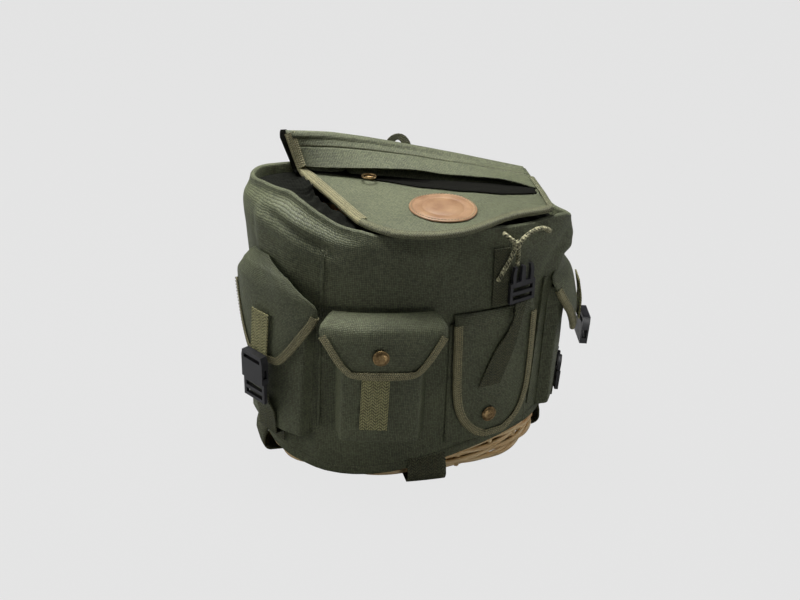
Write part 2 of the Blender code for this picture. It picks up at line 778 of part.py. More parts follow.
def build_side_pocket(side, station, lift):
    build_pouch(side + "_side_pocket", station, SIDE_HALF_WIDTH, SIDE_TOP, SIDE_BOTTOM,
                SIDE_DEPTH, 0.94)
    pivot = hinge_point(station, SIDE_FLAP_TOP)
    depth = side_flap_depth()
    width_shares = [(0, 0.34), (0.14, 0.50), (0.28, 0.68), (0.40, 0.86), (0.54, 1), (0.70, 0.97),
                    (0.86, 0.86), (1, 0.62)]
    place = flap_surface(station, SIDE_FLAP_TOP, SIDE_FLAP_FOLD, SIDE_FLAP_BOTTOM, depth,
                         width_shares, SIDE_FLAP_HALF_WIDTH, 0.08, lift)
    build_flap(side + "_side_flap", place, HUNG_ROWS, pivot, SIDE_EDGE_START)
    tab_foot = 0.94 * SOCKET_LENGTH

    def tab_inner(u, v):
        height = tab_height(u, v)
        share = 0.28 + 0.72 * (SIDE_FLAP_FOLD - height) / (SIDE_FLAP_FOLD - SIDE_FLAP_BOTTOM)
        level = place(0.5, min(max(share, 0), 1))[2] + CANVAS / 2
        return level + BINDING_GAP + BINDING_THICKNESS + 2 * SEAT_GAP

    def tab_height(u, v):
        return mix(mix(SIDE_FLAP_FOLD, SIDE_FLAP_BOTTOM, 0.45), socket_top() - tab_foot * 0.10, v)

    draped(side + "_flap_tab", "webbing", spread(3), spread(6),
           lambda u, v: station + (2 * u - 1) * WEBBING_WIDTH / 2, tab_height, tab_inner,
           WEBBING_THICKNESS, pivot)
    return pivot


def socket_top():
    return mix(SIDE_FLAP_BOTTOM, SIDE_FLAP_FOLD, 0.09)


# Buckles

def add_cutter(target, name, boxes, place):
    """Cut boxes, given as low and high corners, out of a piece."""
    for number, (low, high) in enumerate(boxes):
        shape = bmesh.new()
        bmesh.ops.create_cube(shape, size=1)
        size = Vector(high) - Vector(low)
        middle = (Vector(high) + Vector(low)) / 2
        bmesh.ops.scale(shape, vec=size, verts=shape.verts)
        bmesh.ops.translate(shape, vec=middle, verts=shape.verts)
        bmesh.ops.transform(shape, matrix=place, verts=shape.verts)
        mesh = bpy.data.meshes.new(name)
        shape.to_mesh(mesh)
        shape.free()
        cutter = bpy.data.objects.new(name + "_cut_" + str(number), mesh)
        bpy.context.scene.collection.objects.link(cutter)
        cutter.hide_render = True
        cutter.display_type = "WIRE"
        modifier = target.modifiers.new("cut " + str(number), "BOOLEAN")
        modifier.operation = "DIFFERENCE"
        modifier.solver = "EXACT"
        modifier.object = cutter


def build_socket(name, place, pivot=None):
    """The half with the mouth: local Z up, its mouth at zero and its strap bar at the top."""
    half = BUCKLE_WIDTH / 2
    outline = [(-half, 0), (half, 0), (half, SOCKET_LENGTH * 0.80),
               (half * 0.90, SOCKET_LENGTH), (-half * 0.90, SOCKET_LENGTH),
               (-half, SOCKET_LENGTH * 0.80)]
    shape = bmesh.new()
    plate(shape, outline, -BUCKLE_THICKNESS / 2, BUCKLE_THICKNESS / 2)
    bmesh.ops.transform(shape, matrix=place, verts=shape.verts)
    item = make_object(name, "plastic", shape, pivot)
    skin = (BUCKLE_THICKNESS - PRONG_THICKNESS) / 2 - BUCKLE_CLEARANCE
    room = BUCKLE_THICKNESS / 2 - skin
    overrun = BUCKLE_THICKNESS
    mouth = ((-half * 0.90, -room, -overrun), (half * 0.90, room, SOCKET_LENGTH * 0.62))
    window_low = SOCKET_LENGTH * 0.20
    window_high = SOCKET_LENGTH * 0.52
    left_window = ((-half - overrun, -room * 0.98, window_low), (-half * 0.8, room * 0.98, window_high))
    right_window = ((half * 0.8, -room * 0.98, window_low), (half + overrun, room * 0.98, window_high))
    slot_half = WEBBING_WIDTH / 2 + BUCKLE_CLEARANCE
    slot = ((-slot_half, -overrun, SOCKET_LENGTH * 0.73), (slot_half, overrun, SOCKET_LENGTH * 0.87))
    add_cutter(item, name, [mouth, left_window, right_window, slot], place)
    return item


def build_fork(name, place, pivot=None):
    """The half with the prongs: its ladder frame ends at zero and the prongs point along +Z."""
    half = BUCKLE_WIDTH / 2
    arm = half * 0.84
    tip = PRONG_LENGTH * 0.72
    barb = PRONG_LENGTH * 0.36
    right_side = [(half, -FRAME_LENGTH), (half, 0), (arm * 0.96, 0), (arm, barb * 0.6),
                  (arm, barb * 1.35), (arm * 0.86, tip), (arm * 0.60, tip), (arm * 0.70, barb * 1.3),
                  (arm * 0.68, SEAT_GAP), (arm * 0.22, SEAT_GAP), (arm * 0.16, tip * 0.94),
                  (arm * 0.08, tip)]
    outline = right_side + [(-x, z) for x, z in reversed(right_side)]
    shape = bmesh.new()
    plate(shape, outline, -PRONG_THICKNESS / 2, PRONG_THICKNESS / 2)
    bmesh.ops.transform(shape, matrix=place, verts=shape.verts)
    item = make_object(name, "plastic", shape, pivot)
    slot_half = WEBBING_WIDTH / 2 + BUCKLE_CLEARANCE
    overrun = BUCKLE_THICKNESS
    upper = ((-slot_half, -overrun, -FRAME_LENGTH * 0.44), (slot_half, overrun, -FRAME_LENGTH * 0.22))
    lower = ((-slot_half, -overrun, -FRAME_LENGTH * 0.84), (slot_half, overrun, -FRAME_LENGTH * 0.62))
    add_cutter(item, name, [upper, lower], place)
    return item


def build_side_closures():
    """Left: clipped shut. Right: undone, with each half hanging on its own strap."""
    left_pivot = build_side_pocket("left", LEFT_STATION, 0)
    right_pivot = build_side_pocket("right", RIGHT_STATION, RIGHT_FLAP_LIFT)
    mouth = socket_top() - SOCKET_LENGTH
    down = Matrix.Translation((0, 0, -SOCKET_LENGTH))
    left_place = wall_matrix(LEFT_STATION, socket_top(), buckle_outward()) @ down
    build_socket("left_buckle_socket", left_place, left_pivot)
    left_fork = left_place @ Matrix.Translation((0, 0, -BUCKLE_CLEARANCE))
    build_fork("left_buckle_fork", left_fork, left_fork.translation)
    hung_share = (SIDE_FLAP_FOLD - socket_top()) / (SIDE_FLAP_FOLD - SIDE_FLAP_BOTTOM)
    right_out = buckle_outward() + RIGHT_FLAP_LIFT * hung_share ** LIFT_SHARE
    right_place = wall_matrix(RIGHT_STATION, socket_top(), right_out) @ down
    build_socket("right_buckle_socket", right_place, right_pivot)
    hanging = mouth - 0.35 * SOCKET_LENGTH - PRONG_LENGTH
    fork_out = SIDE_DEPTH + 3 * SEAT_GAP + WEBBING_THICKNESS + PRONG_THICKNESS / 2
    half_frame = Matrix.Translation((0, 0, FRAME_LENGTH / 2))
    frame_middle = wall_matrix(RIGHT_STATION, hanging - FRAME_LENGTH / 2, fork_out)
    frame_foot = frame_middle @ Matrix.Translation((0, 0, -FRAME_LENGTH / 2))
    build_fork("right_buckle_fork", frame_middle @ half_frame, frame_foot.translation)
    build_lower_strap("left_lower_strap", LEFT_STATION, mouth - BUCKLE_CLEARANCE,
                      buckle_outward())
    build_lower_strap("right_lower_strap", RIGHT_STATION, hanging, fork_out)


def build_lower_strap(name, station, frame_top, outward):
    """Webbing from behind the buckle's ladder frame, down over the pocket's foot, to the wall."""
    start = frame_top - FRAME_LENGTH / 2
    behind = outward - PRONG_THICKNESS / 2 - WEBBING_THICKNESS - SEAT_GAP
    over_pocket = SIDE_DEPTH + 2 * SEAT_GAP
    low = SIDE_BOTTOM - 3 * WEBBING_THICKNESS
    frame_foot = frame_top - FRAME_LENGTH
    route = [(station, start, behind), (station, frame_foot, mix(behind, over_pocket, 0.1)),
             (station, mix(frame_foot, low, 0.35), mix(behind, over_pocket, 0.8)),
             (station, mix(frame_foot, low, 0.7), over_pocket),
             (station, low + WEBBING_THICKNESS, over_pocket),
             (station, low, SEAT_GAP), (station, low - WEBBING_WIDTH / 2, SEAT_GAP)]
    wall_ribbon(name, "webbing", route, WEBBING_WIDTH / 2, WEBBING_THICKNESS, 18)


# Lid closure strap at the front right

def build_front_closure():
    """The lid's lower half buckle on a sewn stub, its backing webbing and the hanging tail."""
    pivot_height = FRONT_STRAP_HEIGHT
    outward = 2 * SEAT_GAP + WEBBING_THICKNESS + PRONG_THICKNESS / 2
    frame_top = pivot_height + FRAME_LENGTH + SEAT_GAP
    place = wall_matrix(FRONT_STRAP_STATION, pivot_height, outward)
    place = place @ Matrix.Translation((0, 0, frame_top - pivot_height))
    pivot = wall_point(FRONT_STRAP_STATION, pivot_height, outward + PRONG_THICKNESS / 2)
    build_fork("front_buckle_fork", place, pivot)
    backing_station = FRONT_STRAP_STATION - 0.98 * WEBBING_WIDTH
    backing_top = frame_top + 1.6 * PRONG_LENGTH
    wall_ribbon("buckle_backing_strap", "webbing",
                [(backing_station, backing_top, SEAT_GAP), (backing_station, pivot_height, SEAT_GAP)],
                WEBBING_WIDTH * 0.38, WEBBING_THICKNESS, 6, 3)
    stub_top = pivot_height - SEAT_GAP
    stub_foot = FLAT_FLAP_TOP + 2 * SEAT_GAP
    wall_ribbon("front_strap_stub", "webbing",
                [(FRONT_STRAP_STATION, stub_top + FRAME_LENGTH * 0.10, SEAT_GAP),
                 (FRONT_STRAP_STATION, stub_foot, SEAT_GAP)],
                WEBBING_WIDTH / 2, WEBBING_THICKNESS, 3, 3)
    tail_out = 2 * SEAT_GAP + flat_flap_face()
    half_shares = [0.62, 0.42, 0.55, 0.9, 1, 1, 1]
    out_shares = [0.55, 1.15, 1.25, 1.1, 1, 1, 1.05]
    down_shares = spread(len(half_shares) - 1)

    def half(v):
        return WEBBING_WIDTH / 2 * float(np.interp(v, down_shares, half_shares))

    draped("front_strap_tail", "webbing", spread(3), spread(12),
           lambda u, v: mix(FRONT_STRAP_STATION, TAIL_END_STATION, v) + (2 * u - 1) * half(v),
           lambda u, v: mix(pivot_height - 2 * SEAT_GAP, TAIL_END_HEIGHT, v),
           lambda u, v: tail_out * float(np.interp(v, down_shares, out_shares)),
           WEBBING_THICKNESS, pivot)


# Lid

def lid_corner(place):
    x, y, rise = place
    return Vector((x, y, RIM_HEIGHT + rise))


def lid_middle(u, v):
    """The middle of the lid: v is -1 at the hinge, 0 at the crest and 1 at the front edge.

    From the crest it slopes down to a fold across the lid, and from there it lies flat on the rim.
    """
    crest = lid_corner(LID_BACK_LEFT).lerp(lid_corner(LID_BACK_RIGHT), u)
    if v < 0:
        hinge = Vector((mix(HINGE_LEFT, HINGE_RIGHT, u), HINGE_DEPTH, RIM_HEIGHT + HINGE_RISE))
        return crest.lerp(hinge, -v)
    fold = lid_corner(LID_FOLD_LEFT).lerp(lid_corner(LID_FOLD_RIGHT), u)
    if v < LID_FOLD_SHARE:
        return crest.lerp(fold, v / LID_FOLD_SHARE)
    front = lid_corner(LID_FRONT_LEFT).lerp(lid_corner(LID_FRONT_RIGHT), u)
    front.y -= LID_FRONT_BULGE * float(np.interp(u, BULGE_ACROSS_SHARES, BULGE_SHARES))
    ahead = (v - LID_FOLD_SHARE) / (1 - LID_FOLD_SHARE)
    point = fold.lerp(front, ahead)
    point.z += LID_CROWN * 16 * ahead * (1 - ahead) * u * (1 - u)
    return point


def lid_normal(u, v):
    step = STEP_SHARE
    low_u, high_u = max(u - step, 0), min(u + step, 1)
    low_v, high_v = (max(v - step, 0), min(v + step, 1)) if v > 0 else (v, v + step)
    across = lid_middle(high_u, v) - lid_middle(low_u, v)
    down = lid_middle(u, high_v) - lid_middle(u, low_v)
    return down.cross(across).normalized()


def on_lid(u, v, outward):
    return lid_middle(u, v) + lid_normal(u, v) * (LID_THICKNESS / 2 + outward)


def lid_pivot():
    return Vector((0, HINGE_DEPTH, RIM_HEIGHT + HINGE_RISE))


def build_lid_panel():
    rows = [-1, -0.5, 0, 0.09, 0.18, LID_FOLD_SHARE, 0.38, 0.52, 0.68, 0.84, 1]

    def surface(side):
        def point(u, v):
            normal = lid_normal(u, v) if v > 0 else crest_normal(u, v)
            return lid_middle(u, v) + normal * side * LID_THICKNESS / 2
        return point

    grid_solid("lid_panel", "canvas", spread(LID_COLUMNS), rows, surface(1), surface(-1),
               lid_pivot())


def crest_normal(u, v):
    """Out of the lid's back strip, turning to the top's own direction at the crest."""
    across = lid_middle(min(u + STEP_SHARE, 1), v) - lid_middle(max(u - STEP_SHARE, 0), v)
    down = lid_middle(u, -0.9) - lid_middle(u, -0.1)
    back = across.cross(down).normalized()
    if v == 0:
        return (back + lid_normal(u, STEP_SHARE)).normalized()
    return back


def build_lid_band():
    """The strip of cloth from the crest over the zip; its free edge stands up a little."""
    band_edge_share = 0.235

    def surface(layer):
        def point(u, v):
            gape = BAND_LIFT * v ** 2 * (1 - (2 * u - 1) ** 2)
            return on_lid(mix(0.035, 0.965, u), mix(0.02, band_edge_share, v), SEAT_GAP + gape + layer)
        return point

    grid_solid("lid_band", "canvas", spread(14), spread(4), surface(CANVAS), surface(0), lid_pivot())


def build_lid_binding():
    """Folded tape along the left, front and right edges of the lid."""
    left_shares = [0.31, 0.38, 0.52, 0.68, 0.84, 1]
    right_shares = [0.11, 0.18, LID_FOLD_SHARE, 0.38, 0.52, 0.68, 0.84, 1]
    edge = [(0, v) for v in left_shares]
    edge += [(u, 1) for u in spread(LID_COLUMNS)[1:-1]]
    edge += [(1, v) for v in reversed(right_shares)]
    points = [lid_middle(u, v) for u, v in edge]
    normals = [lid_normal(u, v) for u, v in edge]
    profile = channel_profile(LID_BINDING_WIDTH / 2, BINDING_THICKNESS, BINDING_GAP, LID_THICKNESS)
    sweep_solid("lid_binding", "khaki", edge_frames(points, lid_middle(0.5, 0.5), normals),
                profile, lid_pivot())


def lid_shares(point_u, point_v, across, along):
    """Shares of the lid that lie a distance across and towards the front from a point of it."""
    base = lid_middle(point_u, point_v)
    width_step = (lid_middle(point_u + STEP_SHARE, point_v) - base).length / STEP_SHARE
    depth_step = (lid_middle(point_u, point_v + STEP_SHARE) - base).length / STEP_SHARE
    return point_u + across / width_step, point_v + along / depth_step


def build_patch():
    """A plain round leather patch that follows the lid's crown."""
    segments = 28
    shape = bmesh.new()
    layers = []
    for lift in (SEAT_GAP, SEAT_GAP + PATCH_THICKNESS):
        centre = shape.verts.new(on_lid(*PATCH_SHARES, lift))
        rings = []
        for ring_share in (0.5, 1):
            ring = []
            for k in range(segments):
                turn = 2 * math.pi * k / segments
                u, v = lid_shares(*PATCH_SHARES,
                                  PATCH_RADIUS * ring_share * math.cos(turn),
                                  PATCH_RADIUS * ring_share * math.sin(turn))
                ring.append(shape.verts.new(on_lid(u, v, lift)))
            rings.append(ring)
        layers.append((centre, rings))
    for centre, (small, large) in layers:
        for k in range(segments):
            following = (k + 1) % segments
            shape.faces.new((centre, small[k], small[following]))
            shape.faces.new((small[k], large[k], large[following], small[following]))
    for k in range(segments):
        following = (k + 1) % segments
        low, high = layers[0][1][1], layers[1][1][1]
        shape.faces.new((low[k], low[following], high[following], high[k]))
    return make_object("leather_patch", "leather", shape, lid_pivot())


def zip_share(u, ahead):
    """The share down the lid that lies a distance in front of its fold."""
    return lid_shares(u, LID_FOLD_SHARE, 0, ahead)[1]


def zip_matrix(u):
    """On the zip: local X along it to the right, local Z out of the lid."""
    start, end, here = (lid_middle(share, zip_share(share, ZIP_SETBACK))
                        for share in (*ZIP_END_SHARES, u))
    along = (end - start).normalized()
    normal = lid_normal(u, zip_share(u, ZIP_SETBACK) + 2 * STEP_SHARE)
    normal = (normal - along * normal.dot(along)).normalized()
    place = Matrix((along, normal.cross(along), normal)).transposed().to_4x4()
    place.translation = here
    return place


def build_zip():
    def surface(layer):
        def point(u, v):
            share_u = mix(*ZIP_END_SHARES, u)
            down = (2 * v - 1) * ZIP_TAPE_HALF_WIDTH * 0.35
            share_v = zip_share(share_u, ZIP_SETBACK + down)
            return on_lid(share_u, share_v, SEAT_GAP + layer)
        return point

    grid_solid("zip_tape", "webbing", spread(12), spread(1), surface(ZIP_TAPE_THICKNESS), surface(0),
               lid_pivot())
    seat = LID_THICKNESS / 2 + ZIP_TAPE_THICKNESS + 3 * SEAT_GAP
    place = zip_matrix(SLIDER_SHARE)
    shape = bmesh.new()
    half = SLIDER_WIDTH / 2
    outline = [(-SLIDER_LENGTH / 2, -half * 0.6), (-SLIDER_LENGTH * 0.2, -half),
               (SLIDER_LENGTH / 2, -half * 0.8), (SLIDER_LENGTH / 2, half * 0.8),
               (-SLIDER_LENGTH * 0.2, half), (-SLIDER_LENGTH / 2, half * 0.6)]
    low = [shape.verts.new(place @ Vector((x, y, seat))) for x, y in outline]
    high = [shape.verts.new(place @ Vector((x * 0.8, y * 0.8, seat + SLIDER_HEIGHT / 2)))
            for x, y in outline]
    shape.faces.new(low)
    shape.faces.new(high)
    for k in range(len(outline)):
        following = (k + 1) % len(outline)
        shape.faces.new((low[k], low[following], high[following], high[k]))
    slider_place = place @ Matrix.Translation((0, 0, seat))
    make_object("zip_slider", "brass", shape, slider_place.translation)
    ring_centre = Vector((0, -PULL_RADIUS, seat + SLIDER_HEIGHT / 2 + PULL_WIRE_RADIUS + SEAT_GAP))
    frames = []
    for k in range(16):
        turn = 2 * math.pi * k / 16
        outward = Vector((math.cos(turn), math.sin(turn), 0))
        centre = place @ (ring_centre + outward * PULL_RADIUS)
        frames.append((centre, (place.to_3x3() @ outward), place.to_3x3() @ Vector((0, 0, 1))))
    profile = [(PULL_WIRE_RADIUS * math.cos(turn), PULL_WIRE_RADIUS * math.sin(turn))
               for turn in (2 * math.pi * k / 6 for k in range(6))]
    hinge = place @ Vector((0, 0, ring_centre.z))
    sweep_solid("zip_pull", "brass", frames, profile, hinge, closed=True)


def build_haul_loop():
    """A webbing loop sewn to the lid's back strip that stands up behind the crest."""
    centre_share = 0.47
    foot_share = -0.62
    base = lid_middle(centre_share, foot_share)
    across = (lid_middle(1, foot_share) - lid_middle(0, foot_share)).normalized()
    back = crest_normal(centre_share, foot_share)
    up = (back.cross(across).normalized() + Vector((0, 0, 3))).normalized()
    normal = up.cross(across).normalized()
    seat = base + normal * (LID_THICKNESS / 2 + 3 * SEAT_GAP + WEBBING_THICKNESS)
    segments = 16
    frames = []
    for k in range(segments + 1):
        turn = math.pi * k / segments
        side = -across * math.cos(turn)
        point = seat + side * LOOP_HALF_SPAN + up * LOOP_RISE * math.sin(turn)
        radial = (side * LOOP_RISE + up * math.sin(turn) * LOOP_HALF_SPAN).normalized()
        frames.append((point, radial, normal))
    half_width = LOOP_WIDTH / 2
    half_thickness = WEBBING_THICKNESS / 2
    profile = [(-half_width, -half_thickness), (half_width, -half_thickness),
               (half_width, half_thickness), (-half_width, half_thickness)]
    sweep_solid("haul_loop", "webbing", frames, profile, seat)


def build_lid_strap():
    """The lid's half of the front closure hangs inside the mouth from the lid's underside."""
    across_share, down_share = LID_STRAP_SHARES
    top = lid_middle(across_share, down_share)
    gap = LID_THICKNESS / 2 + 3 * SEAT_GAP
    half = WEBBING_WIDTH / 2
    run = lid_middle(1, down_share) - lid_middle(across_share, down_share)
    slope = run.z / run.length
    foot = -gap - LID_STRAP_LENGTH
    shape = bmesh.new()
    corners = [(-half, -gap - half * slope), (half, -gap + half * slope), (half, foot), (-half, foot)]
    plate(shape, corners, -WEBBING_THICKNESS / 2, WEBBING_THICKNESS / 2)
    place = Matrix.Translation(top)
    bmesh.ops.transform(shape, matrix=place, verts=shape.verts)
    make_object("lid_strap", "webbing", shape, lid_pivot())
    flip = place @ Matrix.Translation((0, 0, foot - SOCKET_LENGTH - SEAT_GAP))
    build_socket("lid_buckle_socket", flip, lid_pivot())


# Shoulder straps on the back

def strap_route(side, share):
    station = BACK_STATION - side * mix(STRAP_TOP_STATION, STRAP_FOOT_STATION, share)
    height = mix(STRAP_TOP, STRAP_FOOT, share)
    return station, height, STRAP_BULGE * math.sin(math.pi * share)


def build_shoulder_straps():
    lock_share = 0.66
    for name, side in (("right", 1), ("left", -1)):
        def pad_place(u, v):
            station, height, outward = strap_route(side, lock_share * v)
            taper = mix(1, 0.72, v)
            return station + (2 * u - 1) * PAD_WIDTH / 2 * taper, height, outward

        draped(name + "_shoulder_strap", "canvas", spread(3), spread(11),
               lambda u, v: pad_place(u, v)[0], lambda u, v: pad_place(u, v)[1],
               lambda u, v: SEAT_GAP + pad_place(u, v)[2], PAD_THICKNESS)
        lock_length_share = LOCK_LENGTH / (STRAP_TOP - STRAP_FOOT)
        start = lock_share + lock_length_share + 2 * LOCK_GAP_SHARE

        def web_place(v):
            return strap_route(side, mix(start, 1, v))

        draped(name + "_adjusting_strap", "webbing", spread(2), spread(8),
               lambda u, v: web_place(v)[0] + (2 * u - 1) * WEBBING_WIDTH / 2,
               lambda u, v: web_place(v)[1], lambda u, v: SEAT_GAP + web_place(v)[2],
               WEBBING_THICKNESS)
        build_ladder_lock(name + "_ladder_lock", side, lock_share, lock_length_share)


def build_ladder_lock(name, side, lock_share, length_share):
    start = lock_share + LOCK_GAP_SHARE
    middle = strap_route(side, start + length_share / 2)
    before = wall_point(*strap_route(side, start))
    after = wall_point(*strap_route(side, start + length_share))
    normal = wall_frame(middle[0], middle[1])[1]
    across = Vector((0, 0, 1)).cross(normal)
    run = before - after
    up = (run - across * run.dot(across)).normalized()
    into = up.cross(across)
    place = Matrix((across, into, up)).transposed().to_4x4()
    place.translation = (before + after) / 2 + normal * (SEAT_GAP + LOCK_THICKNESS / 2)
    half = BUCKLE_WIDTH / 2
    length = (before - after).length / 2 - LOCK_THICKNESS * 0.4
    outline = [(-half, -length * 0.8), (-half * 0.8, -length), (half * 0.8, -length),
               (half, -length * 0.8), (half, length * 0.8), (half * 0.8, length),
               (-half * 0.8, length), (-half, length * 0.8)]
    shape = bmesh.new()
    plate(shape, outline, -LOCK_THICKNESS / 2, LOCK_THICKNESS / 2)
    bmesh.ops.transform(shape, matrix=place, verts=shape.verts)
    item = make_object(name, "plastic", shape)
    slot_half = WEBBING_WIDTH / 2 + BUCKLE_CLEARANCE
    overrun = LOCK_THICKNESS
    slots = [((-slot_half, -overrun, length * low), (slot_half, overrun, length * high))
             for low, high in ((-0.72, -0.42), (-0.15, 0.15), (0.42, 0.72))]
    add_cutter(item, name, slots, place)


# Drawcord

CORD_ROUTES = {
    "drawcord_left": [(0.0750, 0.2800, 0.0006), (0.0752, 0.2798, 0.0045), (0.0770, 0.2780, 0.0072),
                      (0.0800, 0.2750, 0.0075), (0.0833, 0.2720, 0.0072)],
    "drawcord_right": [(0.1310, 0.2710, 0.0006), (0.1308, 0.2714, 0.0045), (0.1280, 0.2740, 0.0072),
                       (0.1210, 0.2785, 0.0075), (0.1120, 0.2805, 0.0075), (0.1020, 0.2785, 0.0075),
                       (0.0965, 0.2750, 0.0073), (0.0922, 0.2716, 0.0072)],
    "drawcord_tail_left": [(0.0847, 0.2628, 0.0068), (0.0820, 0.2565, 0.0064), (0.0780, 0.2480, 0.0060),
                           (0.0730, 0.2390, 0.0054), (0.0680, 0.2300, 0.0050)],
    "drawcord_tail_right": [(0.0890, 0.2624, 0.0068), (0.0895, 0.2570, 0.0068),
                            (0.0885, 0.2515, 0.0080), (0.0870, 0.2465, 0.0098)],
}

def smooth_route(points, per_span):
    """Points of a smooth curve through the route's own points."""
    padded = [points[0] * 2 - points[1]] + points + [points[-1] * 2 - points[-2]]
    result = []
    for k in range(1, len(padded) - 2):
        for step in range(per_span):
            t = step / per_span
            a, b, c, d = padded[k - 1:k + 3]
            result.append(0.5 * (2 * b + (c - a) * t + (2 * a - 5 * b + 4 * c - d) * t * t
                                 + (3 * b - a - 3 * c + d) * t ** 3))
    return result + [points[-1]]


def build_cords():
    for name, route in CORD_ROUTES.items():
        points = smooth_route([wall_point(*stop) for stop in route], 2)
        curve = bpy.data.curves.new(name, "CURVE")
        curve.dimensions = "3D"
        curve.bevel_depth = CORD_DIAMETER / 2
        curve.bevel_resolution = 2
        curve.use_fill_caps = True
        spline = curve.splines.new("POLY")
        spline.points.add(len(points) - 1)
        for stop, point in zip(spline.points, points):
            stop.co = (*point, 1)
        item = bpy.data.objects.new(name, curve)
        curve.materials.append(make_material(name, "khaki"))
        bpy.context.scene.collection.objects.link(item)
    knot_radius = CORD_DIAMETER * 1.22
    steps = 6
    profile = [(0, -knot_radius)]
    for k in range(1, steps):
        turn = math.pi * (k / steps - 0.5)
        profile.append((knot_radius * math.cos(turn), knot_radius * math.sin(turn)))
    profile.append((0, knot_radius))
    turned_solid("drawcord_knot", "khaki", profile,
                 wall_matrix(KNOT_STATION, KNOT_HEIGHT, KNOT_OUTWARD), 12)


def build():
    clear_scene()
    build_basket_wall()
    build_basket_base()
    build_basket_rim()
    build_cover_shell()
    build_mouth_collar()
    build_seam_strips()
    build_carry_straps()
    build_bellows_pocket()
    build_flat_pocket()
    build_side_closures()
    build_front_closure()
    build_lid_panel()
    build_lid_band()
    build_lid_binding()
    build_patch()
    build_zip()
    build_haul_loop()
    build_lid_strap()
    build_shoulder_straps()
    build_cords()


build()
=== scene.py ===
import math

import bmesh
import bpy
import numpy as np
from mathutils import Matrix, Vector, noise


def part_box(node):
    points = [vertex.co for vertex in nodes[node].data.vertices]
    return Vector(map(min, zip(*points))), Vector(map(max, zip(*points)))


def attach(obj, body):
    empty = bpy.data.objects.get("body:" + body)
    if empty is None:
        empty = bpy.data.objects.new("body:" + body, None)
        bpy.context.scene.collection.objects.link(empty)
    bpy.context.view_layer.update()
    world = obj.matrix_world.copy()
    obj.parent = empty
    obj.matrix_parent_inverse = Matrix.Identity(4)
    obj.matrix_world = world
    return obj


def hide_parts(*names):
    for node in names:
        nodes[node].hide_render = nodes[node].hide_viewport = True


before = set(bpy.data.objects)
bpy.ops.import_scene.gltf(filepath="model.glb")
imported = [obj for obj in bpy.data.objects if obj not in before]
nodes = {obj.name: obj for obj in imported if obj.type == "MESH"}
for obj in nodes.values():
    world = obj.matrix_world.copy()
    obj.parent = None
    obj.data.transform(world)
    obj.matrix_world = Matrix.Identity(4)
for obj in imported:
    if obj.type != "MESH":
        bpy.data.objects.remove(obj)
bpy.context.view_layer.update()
print("frame loaded:", len(nodes), "nodes")

# The camera and the light

camera = {
    "azimuth": -16, "elevation": 28, "roll": 3, "distance": 1.65, "lens": 67.5,
    "target": (0, 0, 0.1265), "shiftX": -0.00625, "shiftY": 0.0375, "sensor": 36,
}
lights = {
    "top": {"from": (-0.15, 0.25, 1.7), "aim": (0, 0, 0.2), "size": 0.9, "power": 48},
    "left": {"from": (-1.8, 0.1, 0.9), "aim": (0, 0, 0.2), "size": 0.9, "power": 12},
    "right": {"from": (1.9, 0.0, 0.9), "aim": (0, 0, 0.2), "size": 0.9, "power": 9},
    "low": {"from": (0.20, -0.8, 0.02), "aim": (0.06, -0.08, 0.0), "size": 0.25, "power": 1.25},
}
stageLook = {"backdrop": (0.79, 0.79, 0.79), "world": 0.022, "floorShare": 0.97, "floor": 0.26,
             "roughness": 0.9, "reach": 40}


def axesMatrix(across, over, facing, origin):  # a place from three directions and an origin
    place = Matrix((across, over, facing)).transposed().to_4x4()
    place.translation = origin
    return place


def buildCamera():
    azimuth, elevation = math.radians(camera["azimuth"]), math.radians(camera["elevation"])
    back = Vector((math.sin(azimuth) * math.cos(elevation), -math.cos(azimuth) * math.cos(elevation),
                   math.sin(elevation)))
    side = Vector((math.cos(azimuth), math.sin(azimuth), 0))
    up = back.cross(side)
    turn = math.radians(camera["roll"])
    across = side * math.cos(turn) + up * math.sin(turn)
    over = up * math.cos(turn) - side * math.sin(turn)
    data = bpy.data.cameras.new("camera")
    data.lens = camera["lens"]
    data.sensor_width = camera["sensor"]
    data.shift_x = camera["shiftX"]
    data.shift_y = camera["shiftY"]
    item = bpy.data.objects.new("camera", data)
    origin = Vector(camera["target"]) + back * camera["distance"]
    item.matrix_world = axesMatrix(across, over, back, origin)
    bpy.context.scene.collection.objects.link(item)
    bpy.context.scene.camera = item


def buildLights():
    for name, look in lights.items():
        data = bpy.data.lights.new(name, "AREA")
        data.energy = look["power"]
        data.size = look["size"]
        item = bpy.data.objects.new(name, data)
        item.location = look["from"]
        aim = Vector(look["aim"]) - Vector(look["from"])
        item.rotation_euler = aim.to_track_quat("-Z", "Y").to_euler()
        bpy.context.scene.collection.objects.link(item)


def put(tree, kind, values=None, **settings):  # a node with its inputs set or linked
    node = tree.nodes.new(kind)
    for key, value in settings.items():
        setattr(node, key, value)
    for key, value in (values or {}).items():
        if isinstance(value, bpy.types.NodeSocket):
            tree.links.new(value, node.inputs[key])
        else:
            node.inputs[key].default_value = value
    return node


def calc(tree, operation, first, second=0.0, third=0.0):
    node = put(tree, "ShaderNodeMath", {0: first, 1: second, 2: third}, operation=operation)
    return node.outputs[0]


